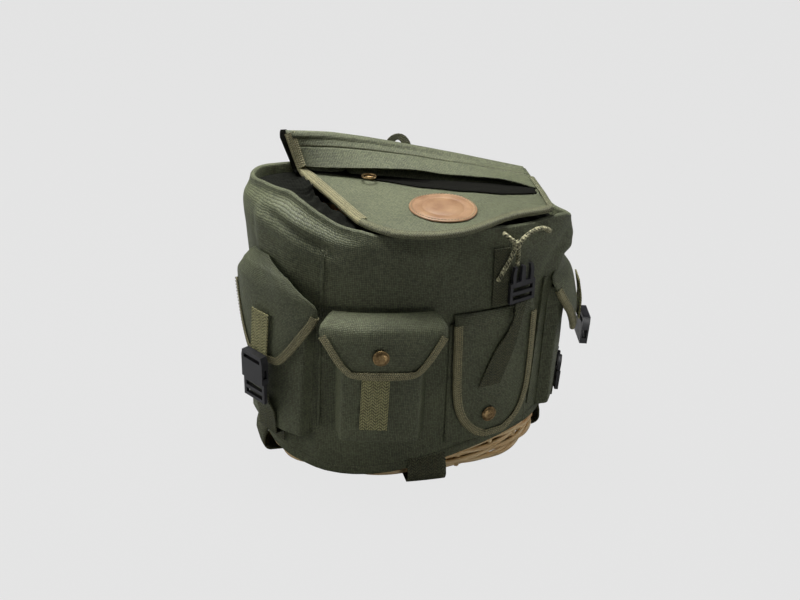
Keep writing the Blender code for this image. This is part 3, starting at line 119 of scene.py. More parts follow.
def buildStage():
    world = bpy.data.worlds.new("studio")
    bpy.context.scene.world = world
    world.use_nodes = True
    tree = world.node_tree
    tree.nodes.clear()
    ray = put(tree, "ShaderNodeLightPath")
    seen = calc(tree, "MAXIMUM", ray.outputs["Is Camera Ray"], ray.outputs["Is Transmission Ray"])
    soft = put(tree, "ShaderNodeBackground", {"Color": (1, 1, 1, 1), "Strength": stageLook["world"]})
    plain = put(tree, "ShaderNodeBackground", {"Color": (*stageLook["backdrop"], 1), "Strength": 1.0})
    both = put(tree, "ShaderNodeMixShader", {0: seen, 1: soft.outputs[0], 2: plain.outputs[0]})
    put(tree, "ShaderNodeOutputWorld", {"Surface": both.outputs[0]})
    mesh = bpy.data.meshes.new("floor")
    reach = stageLook["reach"]
    mesh.from_pydata([(-reach, -reach, 0), (reach, -reach, 0), (reach, reach, 0), (-reach, reach, 0)],
                     [], [(0, 1, 2, 3)])
    floor = bpy.data.objects.new("floor", mesh)
    bpy.context.scene.collection.objects.link(floor)
    material = bpy.data.materials.new("pale floor")
    material.use_nodes = True
    tree = material.node_tree
    shader = tree.nodes["Principled BSDF"]
    shader.inputs["Base Color"].default_value = (*(stageLook["floor"],) * 3, 1)
    shader.inputs["Roughness"].default_value = stageLook["roughness"]
    ray = put(tree, "ShaderNodeLightPath")
    glow = put(tree, "ShaderNodeEmission", {"Color": (*stageLook["backdrop"], 1), "Strength": 1.0})
    seen = calc(tree, "MULTIPLY", ray.outputs["Is Camera Ray"], stageLook["floorShare"])
    both = put(tree, "ShaderNodeMixShader", {0: seen, 1: shader.outputs[0], 2: glow.outputs[0]})
    tree.links.new(both.outputs[0], tree.nodes["Material Output"].inputs["Surface"])
    mesh.materials.append(material)
    bpy.context.scene.view_settings.view_transform = "Standard"


buildCamera()
buildLights()
buildStage()
print("camera, light and floor")

# Shared effects


def newGroup(name, inputs, outputs):  # the first input is a place, and the others are numbers
    tree = bpy.data.node_groups.new(name, "ShaderNodeTree")
    tree.interface.new_socket("Place", in_out="INPUT", socket_type="NodeSocketVector")
    for labels, way in ((inputs, "INPUT"), (outputs, "OUTPUT")):
        for label in labels:
            tree.interface.new_socket(label, in_out=way, socket_type="NodeSocketFloat")
    return tree, tree.nodes.new("NodeGroupInput"), tree.nodes.new("NodeGroupOutput")


def ridge(tree, value):  # rises to 1 half way through each whole step, and falls to 0 at its ends
    swing = calc(tree, "MULTIPLY_ADD", calc(tree, "FRACT", value), 2.0, -1.0)
    return calc(tree, "SUBTRACT", 1.0, calc(tree, "MULTIPLY", swing, swing))


def weaveGroup():  # plain weave: threads cross over and under each other
    tree, start, end = newGroup("plain weave", ["Pitch"], ["Height", "Fleck"])
    count = calc(tree, "DIVIDE", 1.0, start.outputs["Pitch"])
    scaled = put(tree, "ShaderNodeVectorMath", {0: start.outputs["Place"], "Scale": count},
                 operation="SCALE")
    drift = put(tree, "ShaderNodeTexNoise", {"Vector": scaled.outputs[0], "Scale": 0.35, "Detail": 2.0})
    drifted = put(tree, "ShaderNodeVectorMath", {0: scaled.outputs[0], 1: drift.outputs["Color"]},
                  operation="ADD")
    parts = put(tree, "ShaderNodeSeparateXYZ", {0: drifted.outputs[0]})
    x, y = parts.outputs[0], parts.outputs[1]
    ridges = [ridge(tree, axis) for axis in (x, y)]
    cell = calc(tree, "ADD", calc(tree, "FLOOR", x), calc(tree, "FLOOR", y))
    odd = calc(tree, "FLOORED_MODULO", cell, 2.0)
    over = put(tree, "ShaderNodeMix", {0: odd, 2: ridges[0], 3: ridges[1]})
    lower = calc(tree, "MULTIPLY", ridges[0], ridges[1])
    height = put(tree, "ShaderNodeMix", {0: 0.45, 2: over.outputs[0], 3: lower})
    corner = put(tree, "ShaderNodeVectorMath", {0: drifted.outputs[0]}, operation="FLOOR")
    fleck = put(tree, "ShaderNodeTexWhiteNoise", {"Vector": corner.outputs[0]})
    tree.links.new(height.outputs[0], end.inputs["Height"])
    tree.links.new(fleck.outputs["Value"], end.inputs["Fleck"])
    return tree


def ribGroup():  # webbing and tape: twilled ribs that meet in chevrons
    tree, start, end = newGroup("twilled ribs", ["Pitch", "Lane"], ["Height", "Fleck"])
    parts = put(tree, "ShaderNodeSeparateXYZ", {0: start.outputs["Place"]})
    across = calc(tree, "DIVIDE", parts.outputs[0], start.outputs["Lane"])
    along = calc(tree, "DIVIDE", parts.outputs[1], start.outputs["Pitch"])
    zigzag = calc(tree, "PINGPONG", across, 1.0)
    rib = ridge(tree, calc(tree, "ADD", along, calc(tree, "MULTIPLY", zigzag, 1.2)))
    lanes = calc(tree, "MULTIPLY", across, 2.0)
    height = calc(tree, "MULTIPLY", rib, calc(tree, "MULTIPLY_ADD", ridge(tree, lanes), 0.6, 0.4))
    rows = calc(tree, "MULTIPLY", along, 2.0)
    cell = put(tree, "ShaderNodeCombineXYZ", {0: calc(tree, "FLOOR", lanes), 1: calc(tree, "FLOOR", rows)})
    fleck = put(tree, "ShaderNodeTexWhiteNoise", {"Vector": cell.outputs[0]})
    tree.links.new(height, end.inputs["Height"])
    tree.links.new(fleck.outputs["Value"], end.inputs["Fleck"])
    return tree


def wearGroup():  # broad uneven patches
    tree, start, end = newGroup("wear", ["Size"], ["Patches"])
    scale = calc(tree, "DIVIDE", 1.0, start.outputs["Size"])
    broad = put(tree, "ShaderNodeTexNoise", {"Vector": start.outputs["Place"], "Scale": scale,
                                             "Detail": 3.0, "Roughness": 0.6})
    tree.links.new(broad.outputs["Fac"], end.inputs["Patches"])
    return tree


weave = weaveGroup()
ribs = ribGroup()
wear = wearGroup()


def newMaterial(name, roughness, metallic=0.0):
    material = bpy.data.materials.new(name)
    material.use_nodes = True
    tree = material.node_tree
    shader = tree.nodes["Principled BSDF"]
    shader.inputs["Roughness"].default_value = roughness
    shader.inputs["Metallic"].default_value = metallic
    return material, tree, shader


def blendColour(tree, shader, share, dark, light):
    colour = put(tree, "ShaderNodeMix", {0: share, 6: (*dark, 1), 7: (*light, 1)}, data_type="RGBA")
    colour.clamp_factor = True
    tree.links.new(colour.outputs[2], shader.inputs["Base Color"])


def bumpFrom(tree, shader, height, distance, strength):
    bump = put(tree, "ShaderNodeBump", {"Height": height, "Distance": distance, "Strength": strength})
    tree.links.new(bump.outputs[0], shader.inputs["Normal"])


# What the cloths share, unless their own look below says otherwise
clothBase = {"roughness": 0.70, "sheen": 0.05, "shine": 0.35, "relief": 0.65, "wearSize": 0.06,
             "patches": (0.40, -0.20), "level": 0.10, "bumpStrength": 0.8, "sheenRoughness": 0.45,
             "sheenTint": (0.85, 1.0, 0.7, 1)}


def clothMaterial(name, ownLook):  # canvas, tape or webbing, woven on the piece's own cloth map
    look = {**clothBase, **ownLook}
    material, tree, shader = newMaterial(name, look["roughness"])
    shader.inputs["Sheen Weight"].default_value = look["sheen"]
    shader.inputs["Sheen Roughness"].default_value = look["sheenRoughness"]
    shader.inputs["Sheen Tint"].default_value = look["sheenTint"]
    shader.inputs["Specular IOR Level"].default_value = look["shine"]
    values = {"Place": put(tree, "ShaderNodeUVMap", uv_map="cloth").outputs[0], "Pitch": look["pitch"]}
    if "lane" in look:
        values["Lane"] = look["lane"]
    group = put(tree, "ShaderNodeGroup", values, node_tree=ribs if "lane" in look else weave)
    place = put(tree, "ShaderNodeTexCoord").outputs["Object"]
    worn = put(tree, "ShaderNodeGroup", {"Place": place, "Size": look["wearSize"]}, node_tree=wear)
    fleck = calc(tree, "MULTIPLY_ADD", group.outputs["Fleck"], look["fleck"],
                 look["level"] - look["fleck"] / 2)
    thread = calc(tree, "MULTIPLY_ADD", group.outputs["Height"], look["relief"], fleck)
    patches = calc(tree, "MULTIPLY_ADD", worn.outputs["Patches"], *look["patches"])
    share = calc(tree, "ADD", thread, patches)
    blendColour(tree, shader, share, look["dark"], look["light"])
    bumpFrom(tree, shader, group.outputs["Height"], look["bump"], look["bumpStrength"])
    return material


clothLooks = {
    "canvas": {"dark": (0.014, 0.017, 0.009), "light": (0.165, 0.180, 0.096), "pitch": 0.0018,
               "relief": 0.72, "roughness": 0.58, "sheen": 0.04, "shine": 0.45, "fleck": 0.34,
               "bump": 0.0005},
    # near black: painted shade, for the mouth under the lid and the dark gap behind the band's left end
    "paintedShade": {"dark": (0.004, 0.004, 0.0035), "light": (0.015, 0.016, 0.012), "pitch": 0.0019,
               "roughness": 0.90, "sheen": 0.0, "shine": 0.05, "fleck": 0.30, "bump": 0.0004},
    "tapeGreen": {"dark": (0.020, 0.023, 0.012), "light": (0.260, 0.260, 0.140), "pitch": 0.0026,
                  "lane": 0.0024, "roughness": 0.60, "sheen": 0.04, "shine": 0.45, "fleck": 0.35,
                  "bump": 0.0008},
    "webbing": {"dark": (0.018, 0.020, 0.012), "light": (0.120, 0.122, 0.060), "pitch": 0.0032,
                "lane": 0.0040, "fleck": 0.30, "bump": 0.0010},
    "paleWebbing": {"dark": (0.012, 0.012, 0.006), "light": (0.400, 0.380, 0.180), "pitch": 0.0034,
                    "lane": 0.0044, "relief": 1.0, "fleck": 0.35, "bump": 0.0010},
    "binding": {"dark": (0.025, 0.025, 0.012), "light": (0.400, 0.365, 0.200), "pitch": 0.0022,
                "lane": 0.0042, "relief": 0.9, "fleck": 0.30, "bump": 0.0009},
    # near black: painted shade, the shadow under the band's lip laid on the zip tape
    "zipShadeTape": {"dark": (0.004, 0.004, 0.0035), "light": (0.014, 0.014, 0.011), "pitch": 0.0012,
                "lane": 0.0012, "roughness": 0.90, "sheen": 0.0, "shine": 0.05, "fleck": 0.30,
                "bump": 0.0003},
    "cord": {"dark": (0.022, 0.024, 0.012), "light": (0.560, 0.530, 0.320), "pitch": 0.0034,
             "lane": 0.0060, "fleck": 0.80, "bump": 0.0010},
}
materials = {name: clothMaterial(name, look) for name, look in clothLooks.items()}


def noiseAt(tree, scale, detail, roughness=0.5, stretch=None):  # noise in the piece's own place
    place = put(tree, "ShaderNodeTexCoord").outputs["Object"]
    if stretch:
        place = put(tree, "ShaderNodeVectorMath", {0: place, 1: stretch}, operation="MULTIPLY").outputs[0]
    values = {"Vector": place, "Scale": scale, "Detail": detail, "Roughness": roughness}
    return put(tree, "ShaderNodeTexNoise", values).outputs["Fac"]


# Shares and roughness are a factor and an offset of the spots; a grain, where given, makes the bump
solidLooks = {
    "willow": {"name": "willow", "roughness": 0.48, "spots": (1.0, 2.0, 0.5, (14, 14, 240)),
               "share": (1.5, -0.50), "grain": (1.0, 3.0, 0.5, (60, 60, 1500)),
               "grainShare": (0.7, -0.25), "dark": (0.62, 0.36, 0.13), "light": (1.0, 0.88, 0.56),
               "bump": (0.0004, 0.5)},
    "leather": {"name": "leather", "roughness": 0.50, "spots": (55.0, 4.0, 0.65), "share": (1.6, -0.35),
                "pores": 900.0, "poreShares": (0.5, 0.8), "dark": (0.170, 0.082, 0.038),
                "light": (0.36, 0.225, 0.120), "bump": (0.0004, 0.45)},
    "brass": {"name": "antique brass", "roughness": 0.38, "metallic": 1.0, "spots": (380.0, 4.0, 0.7),
              "share": (2.0, -0.6), "rough": (-0.35, 0.58), "dark": (0.10, 0.065, 0.030),
              "light": (0.50, 0.345, 0.165), "bump": (0.00025, 0.4)},
    "plastic": {"name": "black plastic", "roughness": 0.34, "spots": (90.0, 3.0), "share": (1.0, 0.0),
                "rough": (0.25, 0.22), "grain": (1400.0, 2.0), "dark": (0.010, 0.010, 0.012),
                "light": (0.034, 0.034, 0.038), "bump": (0.0001, 0.25)},
    "thread": {"name": "thread", "roughness": 0.65, "spots": (900.0, 2.0), "share": (1.0, 0.0),
               "dark": (0.060, 0.062, 0.035), "light": (0.210, 0.205, 0.120), "bump": (0.0002, 0.4)},
}


def solidMaterial(look):  # two colours mixed by spots, with a grain or pores for the bump
    material, tree, shader = newMaterial(look["name"], look["roughness"], look.get("metallic", 0.0))
    spots = noiseAt(tree, *look["spots"])
    share = calc(tree, "MULTIPLY_ADD", spots, *look["share"])
    height = spots
    if "grain" in look:
        height = noiseAt(tree, *look["grain"])
    if "grainShare" in look:
        share = calc(tree, "ADD", share, calc(tree, "MULTIPLY_ADD", height, *look["grainShare"]))
    if "pores" in look:
        place = put(tree, "ShaderNodeTexCoord").outputs["Object"]
        pores = put(tree, "ShaderNodeTexVoronoi", {"Vector": place, "Scale": look["pores"]})
        poreShare, spotShare = look["poreShares"]
        height = calc(tree, "ADD", calc(tree, "MULTIPLY", pores.outputs["Distance"], poreShare),
                      calc(tree, "MULTIPLY", spots, spotShare))
    if "rough" in look:
        tree.links.new(calc(tree, "MULTIPLY_ADD", spots, *look["rough"]), shader.inputs["Roughness"])
    blendColour(tree, shader, share, look["dark"], look["light"])
    bumpFrom(tree, shader, height, *look["bump"])
    return material


materials.update({name: solidMaterial(look) for name, look in solidLooks.items()})
print("materials:", len(materials))

# The wall of the cover: a place on it is a station along the wall, a height and a distance outward

body = {
    "rimHeight": 0.287, "baseHalfWidth": 0.155, "rimHalfWidth": 0.170, "baseFrontDepth": 0.110,
    "rimFrontDepth": 0.100, "baseBackDepth": 0.085, "rimBackDepth": 0.092, "frontPower": 2.2,
    "backPower": 4.0, "canvas": 0.0018, "gap": 0.0004, "hemHeight": 0.027, "hemWave": 0.0165,
    "hemLowStation": -0.090,
}


def mix(start, end, share):
    return start + (end - start) * share


def spread(count):
    return [step / count for step in range(count + 1)]


def smoothStep(share):
    share = min(max(share, 0), 1)
    return share * share * (3 - 2 * share)


def easedInterp(x, places, values):  # a smooth line through the stops, without overshoot
    x = min(max(x, places[0]), places[-1])
    k = max(0, min(len(places) - 2, int(np.searchsorted(places, x, side="right")) - 1))
    span = places[k + 1] - places[k]
    t = (x - places[k]) / span

    def slope(i):
        if i == 0 or i == len(places) - 1:
            j = min(i, len(places) - 2)
            return (values[j + 1] - values[j]) / (places[j + 1] - places[j])
        before = (values[i] - values[i - 1]) / (places[i] - places[i - 1])
        after = (values[i + 1] - values[i]) / (places[i + 1] - places[i])
        return 0 if before * after <= 0 else 2 * before * after / (before + after)

    a, b = slope(k) * span, slope(k + 1) * span
    return ((2 * t ** 3 - 3 * t * t + 1) * values[k] + (t ** 3 - 2 * t * t + t) * a
            + (3 * t * t - 2 * t ** 3) * values[k + 1] + (t ** 3 - t * t) * b)


def planFrame(angle, height):
    share = height / body["rimHeight"]
    width = mix(body["baseHalfWidth"], body["rimHalfWidth"], share)
    across, along = math.sin(angle), -math.cos(angle)
    if along < 0:
        depth, power = mix(body["baseFrontDepth"], body["rimFrontDepth"], share), body["frontPower"]
    else:
        depth, power = mix(body["baseBackDepth"], body["rimBackDepth"], share), body["backPower"]
    reach = (abs(across / width) ** power + abs(along / depth) ** power) ** (-1 / power)
    x, y = reach * across, reach * along
    outward = Vector((math.copysign(abs(x / width) ** (power - 1) / width, x),
                      math.copysign(abs(y / depth) ** (power - 1) / depth, y), 0))
    return Vector((x, y, height)), outward.normalized()


def stationTable():
    angles = np.linspace(-math.pi, math.pi, 1441)
    points = [planFrame(angle, body["rimHeight"] / 2)[0] for angle in angles]
    steps = [(after - before).length for before, after in zip(points, points[1:])]
    lengths = np.concatenate([[0], np.cumsum(steps)])
    return angles, lengths - np.interp(0, angles, lengths), lengths[-1]


planAngles, planStations, perimeter = stationTable()


def wallFrame(station, height):
    station = (station + perimeter / 2) % perimeter - perimeter / 2
    return planFrame(float(np.interp(station, planStations, planAngles)), height)


def wallPoint(station, height, outward=0.0):
    point, normal = wallFrame(station, height)
    return point + normal * outward


def wallMatrix(station, height, outward):  # local X along the wall, local Y into it, local Z up its slope
    point, normal = wallFrame(station, height)
    slope = wallPoint(station, height + body["canvas"]) - point
    along = slope.cross(normal).normalized()
    up = normal.cross(along)
    up = (up * up.dot(slope) + normal * normal.dot(slope)).normalized()
    return axesMatrix(along, up.cross(along), up, point + normal * outward)


def hemHeight(station):
    turn = 4 * math.pi * (station - body["hemLowStation"]) / perimeter
    return body["hemHeight"] - body["hemWave"] * math.cos(turn)


def ripple(point, size, seed=0.0):  # smooth noise from -1 to 1 with features of that size
    return noise.noise(Vector(point) / size + Vector((seed, 3.1 * seed, 7.7 * seed)))


# Making pieces


def addPiece(name, mesh, material, rider, replaced=()):
    mesh.materials.clear()
    mesh.materials.append(materials[material])
    piece = bpy.data.objects.new(name, mesh)
    bpy.context.scene.collection.objects.link(piece)
    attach(piece, rider)
    if replaced:
        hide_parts(*replaced)
    return piece


def thicken(piece, thickness, offset=-1.0):
    modifier = piece.modifiers.new("thickness", "SOLIDIFY")
    modifier.thickness = thickness
    modifier.offset = offset
    modifier.use_even_offset = True


def canvasPiece(name, mesh, thickness, replaced=(), rider="pack"):
    thicken(addPiece(name, mesh, "canvas", rider, replaced), thickness)


def softEdges(piece, width, angle):
    modifier = piece.modifiers.new("soft edges", "BEVEL")
    modifier.width = width
    modifier.segments = 2
    modifier.limit_method = "ANGLE"
    modifier.angle_limit = math.radians(angle)


def cadShape(node):  # a CAD piece with its double points joined
    shape = bmesh.new()
    shape.from_mesh(nodes[node].data)
    bmesh.ops.remove_doubles(shape, verts=shape.verts, dist=0.00001)
    return shape


def finishMesh(mesh, shape, sharpAngle=40):  # the mesh takes the shape, with its faces turned outward
    bmesh.ops.recalc_face_normals(shape, faces=shape.faces)
    shape.to_mesh(mesh)
    shape.free()
    mesh.shade_smooth()
    mesh.set_sharp_from_angle(angle=math.radians(sharpAngle))
    return mesh


def joinRings(shape, rings):  # rings of points in order, with faces from each one to the next
    count = len(rings[0])
    for before, after in zip(rings, rings[1:]):
        for k in range(count):
            following = (k + 1) % count
            shape.faces.new((before[k], after[k], after[following], before[following]))


def clothMap(mesh, corners):  # corners holds a place in metres for each face corner
    layer = mesh.uv_layers.new(name="cloth")
    layer.data.foreach_set("uv", np.array(corners, np.float32).ravel())


def runLengths(points):
    steps = [(after - before).length for before, after in zip(points, points[1:])]
    return [0.0] + list(np.cumsum(steps))


def sheetMesh(name, columns, rows, pointAt, facing, closed=False):
    grid = [[pointAt(u, v) for u in columns] for v in rows]
    across = len(columns)
    middle = grid[len(rows) // 2]
    mapU = runLengths(middle + ([middle[0]] if closed else []))
    mapV = runLengths([row[across // 2] for row in grid])
    faces = []
    corners = []
    for r in range(len(rows) - 1):
        for c in range(across if closed else across - 1):
            d = (c + 1) % across
            faces.append((r * across + c, r * across + d, (r + 1) * across + d, (r + 1) * across + c))
            corners += [(mapU[c], mapV[r]), (mapU[c + 1], mapV[r]), (mapU[c + 1], mapV[r + 1]),
                        (mapU[c], mapV[r + 1])]
    mesh = bpy.data.meshes.new(name)
    mesh.from_pydata([point for row in grid for point in row], [], faces)
    clothMap(mesh, corners)
    middleFace = mesh.polygons[(len(rows) // 2) * (across if closed else across - 1) + across // 2]
    reference = facing(middleFace.center) if callable(facing) else facing
    if middleFace.normal.dot(reference) < 0:
        mesh.flip_normals()
    mesh.shade_smooth()
    return mesh


def sweepMesh(name, frames, profile, closed=False, scales=None):  # frames: an origin and two directions
    count = len(profile)
    rim = runLengths([Vector((a, b, 0)) for a, b in profile + [profile[0]]])
    run = runLengths([frames[k % len(frames)][0] for k in range(len(frames) + (1 if closed else 0))])
    points = []
    for number, (origin, first, second) in enumerate(frames):
        scale = scales[number] if scales else (1, 1)
        points += [origin + first * a * scale[0] + second * b * scale[1] for a, b in profile]
    faces = []
    corners = []
    for r in range(len(frames) if closed else len(frames) - 1):
        after = (r + 1) % len(frames)
        for k in range(count):
            following = (k + 1) % count
            faces.append((r * count + k, r * count + following, after * count + following,
                          after * count + k))
            corners += [(rim[k], run[r]), (rim[k + 1], run[r]), (rim[k + 1], run[r + 1]),
                        (rim[k], run[r + 1])]
    if not closed:
        for r in (0, len(frames) - 1):
            faces.append(tuple(r * count + k for k in range(count)))
            corners += [profile[k] for k in range(count)]
    mesh = bpy.data.meshes.new(name)
    mesh.from_pydata(points, [], faces)
    clothMap(mesh, corners)
    shape = bmesh.new()
    shape.from_mesh(mesh)
    return finishMesh(mesh, shape, 50)


def roundProfile(radius, sides):
    return [(radius * math.cos(2 * math.pi * k / sides), radius * math.sin(2 * math.pi * k / sides))
            for k in range(sides)]


def mirrored(half, middle, signs):  # corners, one between, and the same corners mirrored
    return half + [middle] + [(x * signs[0], y * signs[1]) for x, y in reversed(half)]


def bandProfile(width, thickness):  # webbing with soft selvedges
    half, edge = width / 2, thickness / 2
    side = [(half - edge * 0.4, edge), (half, 0), (half - edge * 0.4, -edge)]
    lower = [(half * share, -edge) for share in (0.5, 0, -0.5)]
    other = [(-half + edge * 0.4, -edge), (-half, 0), (-half + edge * 0.4, edge)]
    upper = [(half * share, edge) for share in (-0.5, 0, 0.5)]
    return side + lower + other + upper


def tapeProfile(width, thickness, gap, core):  # a folded tape round a sheet edge
    reach = core / 2 + gap + thickness
    throat = core / 2 + gap
    back = gap + thickness
    outer = [(width, reach * 0.92), (width * 0.8, reach), (width * 0.4, reach), (0, reach * 0.98),
             (-back * 0.7, reach * 0.72)]
    inner = [(width, -throat), (0, -throat)]
    return mirrored(outer, (-back, 0), (1, -1)) + mirrored(inner, (-gap, 0), (1, -1))


def smoothPath(points, perSpan):
    padded = [points[0] * 2 - points[1]] + list(points) + [points[-1] * 2 - points[-2]]
    result = []
    for k in range(1, len(padded) - 2):
        for step in range(perSpan):
            t = step / perSpan
            a, b, c, d = padded[k - 1:k + 3]
            result.append(0.5 * (2 * b + (c - a) * t + (2 * a - 5 * b + 4 * c - d) * t * t
                                 + (3 * b - a - 3 * c + d) * t ** 3))
    return result + [points[-1]]


def alongAt(points, k):  # the way a line of points runs past one of them
    return (points[min(k + 1, len(points) - 1)] - points[max(k - 1, 0)]).normalized()


def relaxed(points, rounds):  # a line with its corners rounded a little and its ends kept
    for _ in range(rounds):
        middle = [(a + 2 * b + c) / 4 for a, b, c in zip(points, points[1:], points[2:])]
        points = [points[0]] + middle + [points[-1]]
    return points


def pathFrames(points):  # frames that turn as little as they can
    frames = []
    side = Vector((0.3, 0.2, 1))
    for k, point in enumerate(points):
        along = alongAt(points, k)
        side = (side - along * side.dot(along)).normalized()
        frames.append((point, side, along.cross(side)))
    return frames


def edgeFrames(points, centre, normals):  # frames for a tape round an edge, facing its sheet's centre
    frames = []
    for k, point in enumerate(points):
        inward = normals[k].cross(alongAt(points, k)).normalized()
        if inward.dot(centre - point) < 0:
            inward = -inward
        frames.append((point, inward, normals[k]))
    return frames


def wallSection(point, along, station, height):  # a frame across a band that runs on the wall
    across = along.cross(wallFrame(station, height)[1]).normalized()
    return point, across, across.cross(along).normalized()


# Webbing on the wall: the route gives stations, heights and the distance of its inner face
def wallBand(name, route, width, thickness, material, rider, replaced, steps=24):
    stops = smoothPath([Vector(stop) for stop in route], max(2, steps // (len(route) - 1)))
    points = [wallPoint(stop.x, stop.y, stop.z + thickness / 2) for stop in stops]
    frames = [wallSection(point, alongAt(points, k), stops[k].x, stops[k].y)
              for k, point in enumerate(points)]
    mesh = sweepMesh(name, frames, bandProfile(width, thickness))
    addPiece(name, mesh, material, rider, replaced)


def roundedCopy(node, rider, material, bevel, name=None):  # a CAD shape with its edges rounded
    shape = cadShape(node)
    bmesh.ops.dissolve_limit(shape, angle_limit=math.radians(1), verts=shape.verts, edges=shape.edges)
    mesh = finishMesh(bpy.data.meshes.new(name or node + "_shaped"), shape)
    softEdges(addPiece(mesh.name, mesh, material, rider, [node]), bevel, 35)


def turnedPiece(name, profile, place, rider, material, replaced):
    shape = bmesh.new()
    segments = 40
    poles = [shape.verts.new((0, 0, profile[0][1])), shape.verts.new((0, 0, profile[-1][1]))]
    rings = [[shape.verts.new((*corner, height)) for corner in roundProfile(radius, segments)]
             for radius, height in profile[1:-1]]
    for k in range(segments):
        following = (k + 1) % segments
        shape.faces.new((poles[0], rings[0][k], rings[0][following]))
        shape.faces.new((poles[1], rings[-1][following], rings[-1][k]))
    joinRings(shape, rings)
    bmesh.ops.transform(shape, matrix=place, verts=shape.verts)
    addPiece(name, finishMesh(bpy.data.meshes.new(name), shape), material, rider, replaced)


# Geometry Nodes trees: stitches along seams, and rods along their courses

seams = {}  # body name: polylines that the stitches follow


def stitchAlong(rider, points):
    seams.setdefault(rider, []).append(list(points))


def wallSeam(rider, stops, perSpan):  # stops are stations, heights and distances outward
    for before, after in zip(stops, stops[1:]):
        stitchAlong(rider, [wallPoint(*(mix(a, b, k / perSpan) for a, b in zip(before, after)))
                            for k in range(perSpan + 1)])


def geometryTree(name, sockets):
    tree = bpy.data.node_groups.new(name, "GeometryNodeTree")
    tree.interface.new_socket("Geometry", in_out="INPUT", socket_type="NodeSocketGeometry")
    for label, kind in sockets.items():
        tree.interface.new_socket(label, in_out="INPUT", socket_type="NodeSocket" + kind)
    tree.interface.new_socket("Geometry", in_out="OUTPUT", socket_type="NodeSocketGeometry")
    return tree, tree.nodes.new("NodeGroupInput"), tree.nodes.new("NodeGroupOutput")


def endTree(tree, end, geometry, material):  # the last steps: real geometry with its material
    real = put(tree, "GeometryNodeRealizeInstances", {"Geometry": geometry})
    finished = put(tree, "GeometryNodeSetMaterial", {"Geometry": real.outputs[0], "Material": material})
    tree.links.new(finished.outputs[0], end.inputs[0])


def stitchTree():
    tree, start, end = geometryTree("stitches", {"Spacing": "Float", "Length": "Float",
                                                 "Thickness": "Float", "Thread": "Material"})
    curve = put(tree, "GeometryNodeMeshToCurve", {"Mesh": start.outputs["Geometry"]})
    points = put(tree, "GeometryNodeResampleCurve", {"Curve": curve.outputs[0],
                                                     "Length": start.outputs["Spacing"]}, mode="LENGTH")
    tangent = put(tree, "GeometryNodeInputTangent")
    turn = put(tree, "FunctionNodeAlignRotationToVector", {"Vector": tangent.outputs[0]}, axis="X")
    bead = put(tree, "GeometryNodeMeshUVSphere", {"Segments": 6, "Rings": 4, "Radius": 0.5})
    size = put(tree, "ShaderNodeCombineXYZ", {0: start.outputs["Length"], 1: start.outputs["Thickness"],
                                              2: start.outputs["Thickness"]})
    copies = put(tree, "GeometryNodeInstanceOnPoints",
                 {"Points": points.outputs[0], "Instance": bead.outputs[0], "Rotation": turn.outputs[0],
                  "Scale": size.outputs[0]})
    endTree(tree, end, copies.outputs[0], start.outputs["Thread"])
    return tree


def rodTree():
    tree, start, end = geometryTree("rods", {"Radius": "Float", "Uneven": "Float", "Sides": "Int",
                                             "Seed": "Int", "Wood": "Material"})
    curve = put(tree, "GeometryNodeMeshToCurve", {"Mesh": start.outputs["Geometry"]})
    low = calc(tree, "SUBTRACT", 1.0, start.outputs["Uneven"])
    high = calc(tree, "ADD", 1.0, start.outputs["Uneven"])
    place = put(tree, "GeometryNodeInputPosition")
    drift = put(tree, "ShaderNodeTexNoise", {"Vector": place.outputs[0], "Scale": 30.0,
                                             "W": start.outputs["Seed"]}, noise_dimensions="4D")
    swell = put(tree, "ShaderNodeMapRange", {"Value": drift.outputs[0], "From Min": 0.3, "From Max": 0.7,
                                             "To Min": low, "To Max": high})
    radius = calc(tree, "MULTIPLY", swell.outputs[0], start.outputs["Radius"])
    sized = put(tree, "GeometryNodeSetCurveRadius", {"Curve": curve.outputs[0], "Radius": radius})
    ring = put(tree, "GeometryNodeCurvePrimitiveCircle", {"Resolution": start.outputs["Sides"],
                                                          "Radius": 1.0})
    tube = put(tree, "GeometryNodeCurveToMesh", {"Curve": sized.outputs[0],
                                                 "Profile Curve": ring.outputs[0], "Fill Caps": True})
    if "Scale" in tube.inputs:
        tree.links.new(radius, tube.inputs["Scale"])
    endTree(tree, end, tube.outputs[0], start.outputs["Wood"])
    return tree


def runTree(name, tree, chains, values, closed=False):  # the tree's result over polylines, as a plain mesh
    points = [point for chain in chains for point in chain]
    edges = []
    first = 0
    for chain in chains:
        edges += [(first + k, first + k + 1) for k in range(len(chain) - 1)]
        if closed:
            edges.append((first + len(chain) - 1, first))
        first += len(chain)
    mesh = bpy.data.meshes.new(name + " course")
    mesh.from_pydata(points, edges, [])
    guide = bpy.data.objects.new(name + " course", mesh)
    bpy.context.scene.collection.objects.link(guide)
    modifier = guide.modifiers.new(name, "NODES")
    modifier.node_group = tree
    for item in tree.interface.items_tree:
        if item.item_type == "SOCKET" and item.in_out == "INPUT" and item.name in values:
            modifier[item.identifier] = values[item.name]
    bpy.context.view_layer.update()
    evaluated = guide.evaluated_get(bpy.context.evaluated_depsgraph_get())
    result = bpy.data.meshes.new_from_object(evaluated)
    result.name = name
    bpy.data.objects.remove(guide)
    result.shade_smooth()
    return result


stitches = stitchTree()
rods = rodTree()
stitchSizes = {"Spacing": 0.0034, "Length": 0.0026, "Thickness": 0.00075}

# Willow basket

wicker = {
    "height": 0.240, "rodRadius": 0.0026, "swing": 0.0030, "stakes": 22, "rowPitch": 0.0047,
    "stakeRadius": 0.0030, "face": -0.0098, "foot": 0.0034, "footInset": 0.0060, "footHeight": 0.014,
    "walingRows": 7, "walingRise": 0.0016, "rise": 0.0006, "wander": 0.0007, "uneven": 0.14, "sides": 8,
    "seed": 4,
}
wickerRim = {"radius": 0.0040, "uneven": 0.05, "sides": 10, "seed": 2, "lashRadius": 0.0011,
             "lashSides": 5, "lashReach": 0.0049, "turns": 96, "perTurn": 10, "coreSteps": 120}


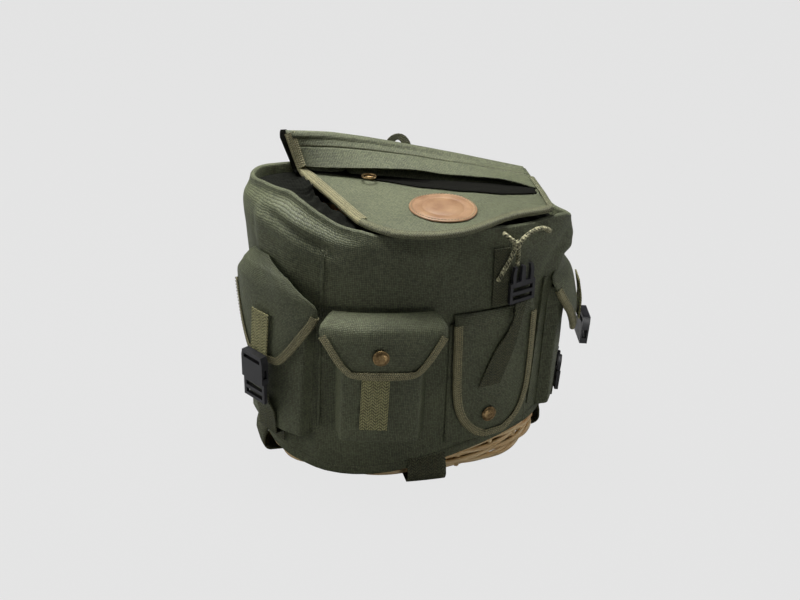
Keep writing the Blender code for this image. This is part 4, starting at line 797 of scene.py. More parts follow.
def wickerFace(height):
    above = (height - wicker["foot"]) / wicker["footHeight"]
    return wicker["face"] - wicker["footInset"] * smoothStep(1 - above)


def buildWicker():
    pitch = perimeter / wicker["stakes"]
    courses = []
    rows = int((wicker["height"] - wicker["foot"]) / wicker["rowPitch"])
    steps = wicker["stakes"] * 8
    for row in range(rows):
        base = wicker["foot"] + wicker["rodRadius"] + row * wicker["rowPitch"]
        waling = row < wicker["walingRows"]  # the first courses are three-rod waling, and slant
        period = 3 * pitch if waling else 2 * pitch
        phase = 2 * math.pi * (row % 3) / 3 if waling else math.pi * (row % 2)
        chain = []
        for k in range(steps):
            station = perimeter * k / steps
            turn = 2 * math.pi * station / period + phase
            rise = wicker["rise"] * math.sin(2 * turn)
            if waling:
                rise = wicker["walingRise"] * math.sin(turn)
            wander = wicker["wander"] * ripple((station * 8, row * 0.37, 0), 0.4, 2)
            height = base + rise + wander
            outward = wickerFace(height) + wicker["swing"] * math.cos(turn)
            chain.append(wallPoint(station, height, outward))
        courses.append(chain)
    values = {"Radius": wicker["rodRadius"], "Uneven": wicker["uneven"], "Sides": wicker["sides"],
              "Seed": wicker["seed"], "Wood": materials["willow"]}
    mesh = runTree("willow_rods", rods, courses, values, closed=True)
    addPiece("willow_rods", mesh, "willow", "pack", ["basket_wall"])
    stakes = []
    for number in range(wicker["stakes"]):
        station = pitch * number
        heights = [mix(wicker["foot"] + 0.002, wicker["height"] + 0.002, k / 12) for k in range(13)]
        stakes.append([wallPoint(station, height, wickerFace(height)) for height in heights])
    values["Radius"] = wicker["stakeRadius"]
    mesh = runTree("willow_stakes", rods, stakes, values)
    addPiece("willow_stakes", mesh, "willow", "pack", ())


def buildWickerRim():  # a rod laid round the top edge and bound with a thinner one
    low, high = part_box("basket_rim")
    middle = (low.z + high.z) / 2
    lash = []
    steps = wickerRim["turns"] * wickerRim["perTurn"]
    for k in range(steps):
        turn = 2 * math.pi * k / wickerRim["perTurn"]
        lash.append(wallPoint(perimeter * k / steps, middle + wickerRim["lashReach"] * math.sin(turn),
                              wicker["face"] + wickerRim["lashReach"] * math.cos(turn)))
    core = [wallPoint(perimeter * k / wickerRim["coreSteps"], middle, wicker["face"])
            for k in range(wickerRim["coreSteps"])]
    values = {"Radius": wickerRim["radius"], "Uneven": wickerRim["uneven"], "Sides": wickerRim["sides"],
              "Seed": wickerRim["seed"], "Wood": materials["willow"]}
    mesh = runTree("rim_rod", rods, [core], values, closed=True)
    addPiece("rim_rod", mesh, "willow", "pack", ["basket_rim"])
    values.update(Radius=wickerRim["lashRadius"], Sides=wickerRim["lashSides"])
    mesh = runTree("rim_lashing", rods, [lash], values, closed=True)
    addPiece("rim_lashing", mesh, "willow", "pack", ())


buildWicker()
buildWickerRim()
roundedCopy("basket_base", "pack", "willow", 0.0015, "wooden_base")
print("willow basket")

# Cover and the gathered collar in its mouth

cover = {
    "columns": 460, "rows": 110, "thickness": 0.0012, "rollRadius": 0.0028, "rollShare": 0.06,
    "facing": 0.015, "liftFrom": 0.72, "hemDepth": 0.0105, "hemLift": 0.0007, "hemThickness": 0.0006,
    "hemSeam": 0.0022, "seamSteps": 519, "flares": [(-0.245, 0.05, 0.0045), (0.175, 0.035, 0.0095)],
    "flareFrom": 0.55, "leanFrom": 0.940, "leanOver": 0.042,
    "rimStations": [-0.46, -0.355, -0.335, -0.30, -0.263, -0.215, -0.18, -0.15, -0.125, -0.105, -0.08,
                    -0.05, 0.06, 0.12, 0.15, 0.18, 0.21, 0.24, 0.27, 0.30, 0.34, 0.46],
    "rimLifts": [0, 0.002, 0.012, 0.014, 0.0175, 0.025, 0.027, 0.022, 0.012, 0.006, 0.002, -0.001,
                 -0.001, -0.004, -0.003, -0.014, -0.023, -0.026, -0.022, -0.014, -0.009, 0],
    "leanStations": [-0.30, -0.25, -0.20, -0.165, -0.13, -0.10, -0.07],
    "leans": [0, 0.004, 0.013, 0.017, 0.012, 0.006, 0],
}
# Noise in the cloth: how deep, how broad, and its seed; it is quiet beside the front buckle
clothNoise = {
    "folds": {"depth": 0.0034, "size": 0.026, "seed": 1, "from": 0.74, "over": 0.20, "stretch": 0.5},
    "broad": {"depth": -0.0014, "size": 0.055, "seed": 5},
    "small": {"depth": 0.0003, "size": 0.008, "seed": 9},
    "quiet": {"share": 0.85, "station": 0.095, "width": 0.045},
    "topLean": {"depth": -0.0030, "from": 0.90, "over": 0.10},
}
collar = {
    "columns": 640, "rows": 18, "thickness": 0.0011, "reach": 0.034, "drop": 0.006, "rise": 0.024,
    "highStation": -0.205, "gathers": 46, "seat": 0.010, "close": 0.030, "gatherDepth": 0.0022,
    "inset": 0.0068, "below": 0.0024, "curve": 0.0012, "lipFrom": 0.86, "lip": 0.002, "flatWidth": 0.030,
}
# Creases run from one station and height to another; then come their depth, outward if positive, and width
creases = [
    ((-0.190, 0.270), (-0.122, 0.262), -0.0040, 0.0036),
    ((-0.195, 0.262), (-0.112, 0.252), 0.0022, 0.0070),
    ((-0.235, 0.262), (-0.150, 0.225), 0.0018, 0.0090),
    ((-0.205, 0.262), (-0.190, 0.190), -0.0022, 0.0070),
    ((-0.180, 0.120), (-0.138, 0.035), -0.0048, 0.0130),
    ((-0.148, 0.115), (-0.112, 0.040), 0.0030, 0.0110),
    ((0.176, 0.265), (0.150, 0.205), 0.0034, 0.0075),
    ((0.160, 0.262), (0.136, 0.222), -0.0022, 0.0065),
    ((-0.070, 0.276), (0.010, 0.262), 0.0018, 0.0080),
    ((0.020, 0.264), (0.075, 0.272), -0.0016, 0.0070),
    ((0.110, 0.262), (0.175, 0.244), 0.0022, 0.0080),
    ((0.125, 0.250), (0.185, 0.226), -0.0016, 0.0065),
    ((-0.110, 0.245), (-0.118, 0.120), 0.0012, 0.0080),
    ((0.010, 0.250), (0.004, 0.150), 0.0010, 0.0100),
]


def rimLift(station):  # the rim of the soft cover stands up at the back left and sags at the right
    return easedInterp(station, cover["rimStations"], cover["rimLifts"])


def rimLean(station):  # and leans in over the mouth at the front left
    return easedInterp(station, cover["leanStations"], cover["leans"])


def creaseRelief(station, height):
    total = 0.0
    for start, end, depth, width in creases:
        first, second = Vector(start), Vector(end)
        run = second - first
        share = (Vector((station, height)) - first).dot(run) / run.length_squared
        if -0.4 < share < 1.4:
            apart = (Vector((station, height)) - first.lerp(second, share)).length / width
            ends = smoothStep((share + 0.4) / 0.5) * smoothStep((1.4 - share) / 0.5)
            total += depth * math.exp(-apart * apart) * ends
    return total


def coverRelief(station, height):  # how far the cloth stands in or out of the plain wall
    share = height / body["rimHeight"]
    folds, broad, small = clothNoise["folds"], clothNoise["broad"], clothNoise["small"]
    quiet, topLean = clothNoise["quiet"], clothNoise["topLean"]
    calm = 1 - quiet["share"] * math.exp(-((station - quiet["station"]) / quiet["width"]) ** 2)
    top = smoothStep((share - folds["from"]) / folds["over"])
    place = (station, height, 0)
    total = folds["depth"] * top * calm * ripple((station, height * folds["stretch"], 0), folds["size"],
                                                 folds["seed"])
    total += broad["depth"] * (0.5 + 0.5 * ripple(place, broad["size"], broad["seed"]))
    total += topLean["depth"] * smoothStep((share - topLean["from"]) / topLean["over"])
    total += small["depth"] * ripple(place, small["size"], small["seed"])
    flare = sum(amount * math.exp(-((station - middle) / width) ** 2)
                for middle, width, amount in cover["flares"])
    flare *= smoothStep((share - cover["flareFrom"]) / (1 - cover["flareFrom"]))
    flare -= rimLean(station) * smoothStep((share - cover["leanFrom"]) / cover["leanOver"])
    return total + flare + creaseRelief(station, height) * calm


def awayFromAxis(centre):
    return Vector((centre.x, centre.y, 0))


def coverPoint(u, v):  # v runs from the hem over the rolled rim at 1, and down the facing inside it to 2
    station = (u - 0.5) * perimeter
    lift = rimLift(station)
    radius, rollShare = cover["rollRadius"], cover["rollShare"]
    top = body["rimHeight"] - radius
    if v > 1:
        depth = cover["facing"] * (v - 1)
        place = wallPoint(station, top, coverRelief(station, top) - 2 * radius - depth * 0.15)
        place.z += lift - depth
        return place
    if v > 1 - rollShare:
        turn = math.pi * (v - 1 + rollShare) / rollShare
        place = wallPoint(station, top, coverRelief(station, top) - radius + radius * math.cos(turn))
        place.z += lift + radius * math.sin(turn) * 0.9
        return place
    height = mix(hemHeight(station), top, v / (1 - rollShare))
    place = wallPoint(station, height, coverRelief(station, height))
    raised = (height / body["rimHeight"] - cover["liftFrom"]) / (1 - cover["liftFrom"])
    place.z += lift * smoothStep(raised)
    return place


def hemPoint(u, v):
    station = (u - 0.5) * perimeter
    height = hemHeight(station) - 0.0004 + cover["hemDepth"] * v
    lift = cover["hemLift"] * math.sin(math.pi * min(max(v, 0.08), 0.94)) ** 0.4
    return wallPoint(station, height, coverRelief(station, height) + lift)


def buildCover():
    rollShare = cover["rollShare"]
    rows = [share * (1 - rollShare) for share in spread(cover["rows"])]
    rows += [1 - rollShare * (1 - share) for share in spread(8)[1:]] + [1.2, 1.5, 2]
    columns = spread(cover["columns"])[:-1]
    mesh = sheetMesh("cover_cloth", columns, rows, coverPoint, awayFromAxis, closed=True)
    canvasPiece("cover_cloth", mesh, cover["thickness"], ["cover_shell"])
    mesh = sheetMesh("hem_fold", columns, spread(7), hemPoint, awayFromAxis, closed=True)
    canvasPiece("hem_fold", mesh, cover["hemThickness"])
    line = []
    for share in spread(cover["seamSteps"]):
        station = (share - 0.5) * perimeter
        height = hemHeight(station) + cover["hemDepth"] - cover["hemSeam"]
        line.append(wallPoint(station, height, coverRelief(station, height) + 0.0009))
    stitchAlong("pack", line)


def collarHeight(station):
    turn = 2 * math.pi * (station - collar["highStation"]) / perimeter
    return collar["rise"] * max(0, math.cos(turn)) ** 4 - collar["drop"]


def collarPoint(u, v):  # v runs from the rim to the edge of the dark mouth
    station = (u - 0.5) * perimeter
    gather = math.sin(station / perimeter * 2 * math.pi * collar["gathers"]
                      + 1.6 * ripple((station, 0, 0), 0.03, 4))
    uneven = 0.7 + 0.5 * ripple((station, v, 0), 0.05, 6)
    depth = collar["gatherDepth"] * gather * smoothStep(v * 1.4) * uneven
    closed = collar["close"] * math.exp(-((station - collar["highStation"]) / 0.10) ** 2)
    inward = mix(collar["inset"] + rimLean(station), collar["reach"] + closed, v)
    rim = rimLift(station)
    rim *= 1 - smoothStep(v * 1.2) if rim > 0 else 1 - 0.3 * v
    rise = (collarHeight(station) + collar["curve"]) * math.sin(math.pi / 2 * v)
    height = body["rimHeight"] - collar["below"] + rim + rise + depth
    height -= collar["seat"] * (1 - v) ** 2
    if v > collar["lipFrom"]:
        height += collar["lip"] * math.sin(math.pi * (v - collar["lipFrom"]) / 0.28)
    return wallPoint(station, height, -inward)


def buildCollar():
    columns, rows = spread(collar["columns"])[:-1], spread(collar["rows"])
    mesh = sheetMesh("gathered_collar", columns, rows, collarPoint, Vector((0, 0, 1)), closed=True)
    # the collar's near-black cloth is painted shade inside the mouth
    piece = addPiece("gathered_collar", mesh, "paintedShade", "pack", ["mouth_collar"])
    thicken(piece, collar["thickness"])


# Each top and foot is a station and a height
seamStrips = {
    "left": {"top": (-0.1165, 0.268), "foot": (-0.1165, 0.034), "depth": 0.0012, "width": 0.0034},
    "right": {"top": (0.137, 0.215), "foot": (0.127, 0.066), "depth": 0.0022, "width": 0.0062},
}


def buildSeamStrips():
    for side, strip in seamStrips.items():
        top, foot, width = strip["top"], strip["foot"], strip["width"]
        stops = [(mix(top[0], foot[0], share), mix(top[1], foot[1], share), 0.0002) for share in spread(6)]
        wallBand(side + "_bound_seam", stops, width, strip["depth"], "canvas", "pack",
                 [side + "_seam_strip"], steps=60)
        offset = width / 2 + 0.0022
        wallSeam("pack", [(top[0] + offset, top[1], 0.0003), (foot[0] + offset, foot[1], 0.0003)], 60)


buildCover()
buildCollar()
buildSeamStrips()
print("cover, collar and seams")

# Webbing under the basket

carry = {"width": 0.040, "thickness": 0.0018, "tuck": 0.022, "bend": 0.010, "slack": 0.0085}


def carryEnd(station):
    inside = body["canvas"] + body["gap"] + carry["thickness"] / 2
    centreHeight = carry["bend"] + carry["thickness"] / 2
    top = hemHeight(station) + carry["tuck"]
    points = [wallPoint(station, mix(top, centreHeight, share),
                        carry["slack"] * smoothStep(share * 1.2 - 0.2) - inside)
              for share in spread(6)]
    inside -= carry["slack"]
    for step in range(1, 10):
        turn = math.radians(10 * step)
        inset = carry["bend"] * (1 - math.cos(turn))
        foot = wallPoint(station, centreHeight, -inside - inset)
        points.append(Vector((foot.x, foot.y, centreHeight - carry["bend"] * math.sin(turn))))
    return points


def buildCarryStrap(name, firstStation, secondStation, rise, node):
    half = carry["width"] / 2
    bumps = [(-1.6, 0), (-1.1, 1), (1.1, 1), (1.6, 0)] if rise > 0 else [(-1, 0), (1, 0)]

    def lane(u):
        first = carryEnd(firstStation + (2 * u - 1) * half)
        second = carryEnd(secondStation - (2 * u - 1) * half)
        start, end = first[-1], second[-1]
        between = [start.lerp(end, 0.5 + place * half / (end - start).length) + Vector((0, 0, lift * rise))
                   for place, lift in bumps]
        return first + between + list(reversed(second))

    columns = spread(8)
    lanes = {u: lane(u) for u in columns}
    last = len(lanes[0]) - 1
    mesh = sheetMesh(name, columns, spread(last), lambda u, v: lanes[u][round(v * last)],
                     Vector((0, 0, -1)))
    thicken(addPiece(name, mesh, "webbing", "pack", [node]), carry["thickness"] * 0.9, offset=0)


buildCarryStrap("carrying_strap_lengthwise", 0, perimeter / 2, 0, "under_strap_lengthwise")
sideStation = float(np.interp(math.pi / 2, planAngles, planStations))
buildCarryStrap("carrying_strap_across", -sideStation, sideStation, carry["thickness"] + body["gap"],
                "under_strap_across")
print("carrying straps")

# Pockets and their flaps

flapRoofShare = 0.28


def flapSurface(look):
    downs = [down for down, width in look["widths"]]
    halves = [width for down, width in look["widths"]]

    def place(u, v):  # v runs from the sewn edge over the roof and down to the free edge
        across = 2 * u - 1
        half = look["halfWidth"] * easedInterp(v, downs, halves)
        share = max(0, (v - flapRoofShare) / (1 - flapRoofShare))
        if v <= flapRoofShare:
            height = mix(look["top"], look["fold"], (v / flapRoofShare) ** look["roofPower"])
        else:
            height = mix(look["fold"], look["bottom"], share)
        outward = easedInterp(v, look["outDowns"], look["outs"])
        outward *= 1 - look["droop"] * abs(across) ** 3
        dent = look.get("dent", 0) * math.exp(-((across - 0.1) / 0.3) ** 2) * math.sin(math.pi * v)
        wave = 0.0007 * ripple((u * 0.1, v * 0.1, look["station"]), 0.03, 6)
        shift = look.get("lean", 0) * (1 - smoothStep(v / 0.45))
        return (look["station"] + shift + across * half, height,
                body["gap"] + body["canvas"] / 2 + outward - dent + wave * min(1, 4 * v))
    return place


def placeNormal(place, u, v):
    step = 0.06
    left = wallPoint(*place(max(u - step, 0), v))
    right = wallPoint(*place(min(u + step, 1), v))
    above = wallPoint(*place(u, max(v - step, 0)))
    below = wallPoint(*place(u, min(v + step, 1)))
    normal = (below - above).cross(right - left)
    if normal.dot(wallFrame(*place(u, v)[:2])[1]) < 0:
        normal = -normal
    return normal.normalized()


flapTape = {"width": 0.0072, "thickness": 0.0009, "gap": 0.0010, "steps": 26, "seam": 0.0018,
            "seamLift": 0.0034, "cloth": 0.0011, "clothLift": 0.0005}


def buildFlap(name, place, rider, nodeNames, edgeStart, columns=26, rows=34):
    def pointAt(u, v):
        station, height, outward = place(u, v)
        return wallPoint(station, height, outward + flapTape["clothLift"])

    mesh = sheetMesh(name + "_cloth", spread(columns), spread(rows), pointAt, placeNormal(place, 0.5, 0.6))
    canvasPiece(name + "_cloth", mesh, flapTape["cloth"], [nodeNames[0]], rider)
    rowShares = [mix(edgeStart, 1, share) for share in spread(flapTape["steps"])]
    edge = [(0, v) for v in rowShares] + [(u, 1) for u in spread(flapTape["steps"])[1:-1]]
    edge += [(1, v) for v in reversed(rowShares)]
    points = relaxed([wallPoint(*place(u, v)) for u, v in edge], 4)
    normals = [placeNormal(place, u, v) for u, v in edge]
    frames = edgeFrames(points, wallPoint(*place(0.5, 0.6)), normals)
    profile = tapeProfile(flapTape["width"], flapTape["thickness"], flapTape["gap"], body["canvas"])
    mesh = sweepMesh(name + "_tape", frames, profile)
    addPiece(name + "_tape", mesh, "binding", rider, [nodeNames[1]])
    inset = flapTape["width"] - flapTape["seam"]
    stitchAlong(rider, [point + inward * inset + normal * flapTape["seamLift"]
                        for point, inward, normal in frames])


bellows = {
    "station": -0.052, "halfWidth": 0.0485, "top": 0.184, "bottom": 0.062, "depth": 0.023,
    "strip": {"shift": -0.14, "lift": 0.0009, "width": 0.029, "thickness": 0.0016},
    "flap": {"station": -0.052, "halfWidth": 0.058, "top": 0.206, "fold": 0.194, "bottom": 0.145,
             "droop": 0.10, "dent": 0.0018, "roofPower": 1.6,
             "outDowns": [0, 0.06, 0.14, 0.28, 0.5, 1],
             "outs": [0.0045, 0.012, 0.020, 0.0275, 0.0298, 0.0298],
             "widths": [(0, 0.90), (0.14, 0.98), (0.26, 1.03), (0.34, 1.03), (0.50, 0.93), (0.70, 0.80),
                        (0.86, 0.68), (1, 0.52)]},
}


pouch = {"frontShare": 0.88, "footDrop": 0.004, "crease": -0.12, "creaseWidth": 0.03, "swell": 0.05,
         "wave": 0.0012, "seat": 0.955, "thickness": 0.0012, "seams": (0.0035, 0.012), "seamLift": 0.0003,
         "columns": 60, "frontRows": 34, "footRows": 8}


# An open-topped pouch: its front stands off the wall and its gussets fold back to it
def pouchPiece(name, look, node, leftSlope=0.16, rightSlope=0.16, footShare=0.95):
    frontShare = pouch["frontShare"]

    def pointAt(u, v):
        across = 2 * u - 1
        down = min(v / frontShare, 1)
        foot = max(0, (v - frontShare) / (1 - frontShare))
        half = look["halfWidth"] * mix(1, footShare, down)
        slope = leftSlope if across < 0 else rightSlope
        rise = smoothStep((1 - abs(across)) / slope)
        apart = (1 - abs(across) - slope * 0.45) / pouch["creaseWidth"]
        crease = pouch["crease"] * math.exp(-apart ** 2)
        fall = math.cos(foot * math.pi / 2) ** 0.7
        swell = 1 + pouch["swell"] * math.sin(math.pi * down) * (1 - across * across)
        wave = pouch["wave"] * ripple((across * 0.05, v * 0.12, look["station"]), 0.022, 8) * rise
        depth = look["depth"] * max(0, rise + crease * rise) * fall * swell * pouch["seat"]
        height = mix(look["top"], look["bottom"] + pouch["footDrop"], down) - pouch["footDrop"] * foot
        height += pouch["wave"] * ripple((across * 0.04, 0, v), 0.02, 3) * (1 - down)
        return wallPoint(look["station"] + across * half, height, body["gap"] + depth + wave * fall)

    columns = sorted(set(spread(pouch["columns"]) + [0.01, 0.03, 0.97, 0.99]))
    rows = [frontShare * share for share in spread(pouch["frontRows"])]
    rows += [frontShare + (1 - frontShare) * share for share in spread(pouch["footRows"])[1:]]
    facing = wallFrame(look["station"], look["top"])[1]
    mesh = sheetMesh(name, columns, rows, pointAt, facing)
    canvasPiece(name, mesh, pouch["thickness"], [node])
    for inset in pouch["seams"]:
        v = inset / (look["top"] - look["bottom"]) * frontShare
        stitchAlong("pack", [pointAt(u, v) + facing * pouch["seamLift"] for u in spread(pouch["columns"])])


def snapAt(prefix):  # the place of the CAD cap: its axis goes through the disc's middle
    mesh = nodes[prefix + "_snap_cap"].data
    points = np.array([v.co for v in mesh.vertices])
    centre = points.mean(0)
    spreadOut = np.linalg.svd(points - centre)[2]
    axis = Vector(spreadOut[2]).normalized()
    outward = Vector((centre[0], centre[1], 0)).normalized()
    if axis.dot(outward) < 0:
        axis = -axis
    heights = (points - centre) @ np.array(axis)
    side = axis.cross(Vector((0, 0, 1))).normalized()
    return axesMatrix(side, axis.cross(side), axis, Vector(centre) + axis * float(heights.min()))


# The profile's corners are shares of the radius and of the height
snap = {"radius": 0.0085, "height": 0.0034,
        "profile": [(0, 0), (0.90, 0), (1, 0.15), (1.01, 0.30), (0.985, 0.46), (0.93, 0.50), (0.90, 0.47),
                    (0.86, 0.55), (0.74, 0.78), (0.55, 0.93), (0.30, 0.995), (0, 1)]}


def buildSnaps(prefix):
    profile = [(snap["radius"] * across, snap["height"] * up) for across, up in snap["profile"]]
    turnedPiece(prefix + "_cap", profile, snapAt(prefix), prefix + "_flap", "brass",
                [prefix + "_snap_cap"])
    stud = nodes[prefix + "_snap_stud"].data
    stud.materials.clear()
    stud.materials.append(materials["brass"])


def buildBellowsPocket():
    pouchPiece("bellows_pocket", bellows, "front_left_pocket", leftSlope=0.22, rightSlope=0.26)
    buildFlap("front_left_flap", flapSurface(bellows["flap"]), "front_left_flap",
              ["front_left_flap", "front_left_flap_binding"], 0.40)
    buildSnaps("front_left")
    low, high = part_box("pocket_webbing_strip")
    strip = bellows["strip"]
    station = bellows["station"] + strip["shift"] * bellows["halfWidth"]
    route = [(station, mix(high.z, low.z, share), bellows["depth"] + strip["lift"]) for share in spread(3)]
    wallBand("pocket_strip", route, strip["width"], strip["thickness"], "paleWebbing", "pack",
             ["pocket_webbing_strip"])


flat = {
    "station": 0.070, "halfWidth": 0.052, "top": 0.185, "bottom": 0.046, "seat": 0.0013, "puff": 0.0012,
    "thickness": 0.0012, "seams": (0.022, 0.978), "seamLift": 0.0003,
    "flap": {"halfWidth": 0.0475, "top": 0.1965, "bottom": 0.051, "seat": 0.0051, "wave": 0.0005,
             "downs": [0, 0.55, 0.7, 0.82, 0.91, 0.97, 1],
             "widths": [1, 0.97, 0.93, 0.82, 0.66, 0.46, 0.30],
             "seams": (0.02, 0.075), "seamLift": 0.0012},
}


def flatPouchPoint(u, v):
    station = flat["station"] + (2 * u - 1) * flat["halfWidth"]
    edge = min(u, 1 - u) * 2 * flat["halfWidth"]
    puff = flat["puff"] * smoothStep(edge / 0.02) * (1 + ripple((station, v * 0.1, 0), 0.03, 2))
    return wallPoint(station, mix(flat["top"], flat["bottom"], v), body["gap"] + flat["seat"] + puff * 0.3)


def flatFlapPlace(u, v):
    look = flat["flap"]
    half = look["halfWidth"] * easedInterp(v, look["downs"], look["widths"])
    wave = look["wave"] * ripple((u * 0.1, v * 0.15, 4), 0.03, 7) * min(1, 5 * v)
    outward = body["gap"] + body["canvas"] / 2 + look["seat"] * min(1, 14 * v) + wave
    return flat["station"] + (2 * u - 1) * half, mix(look["top"], look["bottom"], v), outward


def buildFlatPocket():
    facing = wallFrame(flat["station"], flat["top"])[1]
    mesh = sheetMesh("flat_pocket", spread(44), spread(50), flatPouchPoint, facing)
    canvasPiece("flat_pocket", mesh, flat["thickness"], ["front_right_pocket"])
    for u in flat["seams"]:
        stitchAlong("pack", [flatPouchPoint(u, v) + facing * flat["seamLift"] for v in spread(60)])
    buildFlap("front_right_flap", flatFlapPlace, "front_right_flap",
              ["front_right_flap", "front_right_flap_binding"], 1 / 14, columns=24, rows=44)
    lift = facing * flat["flap"]["seamLift"]
    for v in flat["flap"]["seams"]:
        stitchAlong("front_right_flap", [wallPoint(*flatFlapPlace(u, v)) + lift for u in spread(40)])
    buildSnaps("front_right")


sidePocket = {"halfWidth": 0.050, "top": 0.200, "bottom": 0.050, "depth": 0.012}
sideStations = {"left": -0.172, "right": 0.198}
sideFlap = {"halfWidth": 0.058, "top": 0.250, "fold": 0.236, "bottom": 0.137, "droop": 0.08,
            "roofPower": 1.0,
            "widths": [(0, 0.20), (0.14, 0.36), (0.30, 0.56), (0.38, 0.74), (0.465, 0.95), (0.52, 0.97),
                       (0.73, 0.74), (0.88, 0.54), (1, 0.34)]}
sideTab = {"width": 0.025, "thickness": 0.0016, "lift": 0.0029}
# How far the flap stands off the wall on its way down: clipped shut at the left, undone at the right
flapRuns = {
    "left": {"lean": -0.014, "dent": 0.0035, "outDowns": [0, 0.14, 0.28, 0.42, 1],
             "outs": [0.002, 0.007, 0.012, 0.0165, 0.017]},
    "right": {"outDowns": [0, 0.28, 0.43, 0.54, 0.65, 0.80, 1],
              "outs": [0.0, 0.0012, 0.0030, 0.0145, 0.0195, 0.0240, 0.0250]},
}


def buildSidePocket(side, station):
    pouchPiece(side + "_pouch", dict(sidePocket, station=station), side + "_side_pocket", footShare=0.94)
    flap = dict(sideFlap, station=station, **flapRuns[side])
    place = flapSurface(flap)
    rider = side + "_side_flap"
    buildFlap(side + "_pocket_flap", place, rider, [rider, rider + "_binding"], 0.54)
    low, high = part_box(side + "_flap_tab")
    stops = []
    for share in spread(6):
        height = mix(high.z, low.z, share)
        fall = (1 - flapRoofShare) * (flap["fold"] - height) / (flap["fold"] - flap["bottom"])
        down = flapRoofShare + fall
        level = place(0.5, min(max(down, 0), 1))[2] + body["canvas"] / 2
        stops.append((station, height, level + sideTab["lift"]))
    wallBand(side + "_tab", stops, sideTab["width"], sideTab["thickness"], "paleWebbing", rider,
             [side + "_flap_tab"])


buildBellowsPocket()
buildFlatPocket()
for side, station in sideStations.items():
    buildSidePocket(side, station)
print("pockets and flaps")

# Straps on the wall, traced from the CAD webbing's own surface


def tracedBand(node, rider):  # webbing in a CAD strap's own place, rounded and mapped
    shape = cadShape(node)
    bmesh.ops.join_triangles(shape, faces=shape.faces, angle_face_threshold=math.radians(30),
                             angle_shape_threshold=math.radians(30))
    mesh = finishMesh(bpy.data.meshes.new(node + "_woven"), shape)
    corners = []
    for loop in mesh.loops:
        point = mesh.vertices[loop.vertex_index].co
        angle = math.atan2(point.x, -point.y)
        corners.append((float(np.interp(angle, planAngles, planStations)), point.z))
    clothMap(mesh, corners)
    piece = addPiece(mesh.name, mesh, "webbing", rider, [node])
    softEdges(piece, 0.0005, 50)
    return piece


for strap in ("left_lower_strap", "right_lower_strap", "front_strap_stub", "buckle_backing_strap",
              "left_adjusting_strap", "right_adjusting_strap"):
    tracedBand(strap, "pack")
tracedBand("front_strap_tail", "front_strap_tail")
tracedBand("lid_strap", "lid")
print("straps")

# Buckles

for node, rider in (("front_buckle_fork", "front_buckle"), ("left_buckle_fork", "left_buckle"),
                    ("right_buckle_fork", "right_buckle"), ("left_buckle_socket", "left_side_flap"),
                    ("right_buckle_socket", "right_side_flap"), ("lid_buckle_socket", "lid"),
                    ("left_ladder_lock", "pack"), ("right_ladder_lock", "pack")):
    roundedCopy(node, rider, "plastic", 0.0005)
print("buckles")

# Lid

lid = {
    "thickness": 0.0024, "hingeDepth": 0.089, "hingeRise": 0.0015, "hingeSag": 0.0075,
    "hingeLeft": -0.104, "hingeRight": 0.128, "crown": 0.0025, "frontBulge": 0.045, "foldShare": 0.27,
    "backLeft": (-0.120, 0.082, 0.0440), "backRight": (0.142, 0.050, 0.0055),
    "foldLeft": (-0.1062, 0.069, 0.0045), "foldRight": (0.1358, -0.030, 0.0045),
    "frontLeft": (-0.074, -0.070, 0.0045), "frontRight": (0.132, -0.0665, 0.0045),
    "bulgeAcross": [0, 0.07, 0.16, 0.25, 0.33, 0.45, 0.53, 0.61, 0.725, 0.83, 0.92, 1],
    "bulge": [0, 0.46, 0.82, 0.955, 1, 0.965, 0.84, 0.655, 0.354, 0.18, 0.12, 0],
    "crestAcross": [0, 0.1, 0.2, 0.3, 0.4, 0.5, 0.6, 0.7, 0.8, 0.9, 1],
    "crestLift": [0.003, 0.006, 0.008, 0.008, 0.007, 0.0055, 0.004, 0.002, 0, -0.002, -0.004],
    "cloth": 0.0020, "clothSeat": 0.0008,
}
# The band over the zip: its lip stands off the lid by the gape, and a near-black sheet of painted shade
# shows behind its left end
band = {
    "from": 0.020, "to": 0.980, "top": 0.004, "edge": 0.226, "lift": 0.012, "seat": 0.0016, "roll": 0.0016,
    "wave": 0.0009, "groove": 0.0011, "grooveShare": 0.42, "grooveWidth": 0.025, "seamShare": 0.39,
    "seamLift": 0.0002, "thickness": 0.0016, "shadeSheetReach": 0.0085, "shadeSheetRise": 0.0045,
    "shadeSheetThickness": 0.0012, "gapeAcross": [0, 0.14, 0.30, 0.46, 0.60, 0.78, 0.92, 1],
    "gape": [0, 0.70, 0.85, 0.85, 0.50, 0.55, 0.30, 0],
}
# The zip tape reaches forward under the band's lip, widened to paint the lip's shadow as a near-black
# strip
zipShadeTape = {"ends": (0.03, 0.97), "top": -0.004, "seat": 0.0012, "thickness": 0.0006,
           "reach": [0.001, 0.006, 0.010, 0.019, 0.022, 0.019, 0.008, 0.001]}
# Each tape has its material, width and rows of stitches as shares of that width
lidTapes = {
    "lid_tape_left": {"material": "binding", "width": 0.0092, "seams": (0.2, 0.5, 0.8)},
    "lid_tape_front": {"material": "tapeGreen", "width": 0.0048, "seams": (0.75,)},
}
# Each corner of the profile is a share of the radius and a height
patch = {
    "middle": (0.0175, -0.0560), "radius": 0.0350, "segments": 96, "seat": 0.0002,
    "profile": [(0.02, 0.0020), (0.30, 0.0020), (0.57, 0.0020), (0.60, 0.0015), (0.63, 0.0015),
                (0.66, 0.0020), (0.80, 0.0020), (0.86, 0.0019), (0.885, 0.0014), (0.91, 0.0019),
                (0.955, 0.0020), (0.985, 0.0017), (1.0, 0.0010), (1.0, 0.0003)],
    "seam": 0.935, "seamLift": 0.0023, "seamSteps": 120,
}
haul = {"press": 0.72, "shear": 0.10}


def lidCorner(name):
    x, y, rise = lid[name]
    return Vector((x, y, body["rimHeight"] + rise))


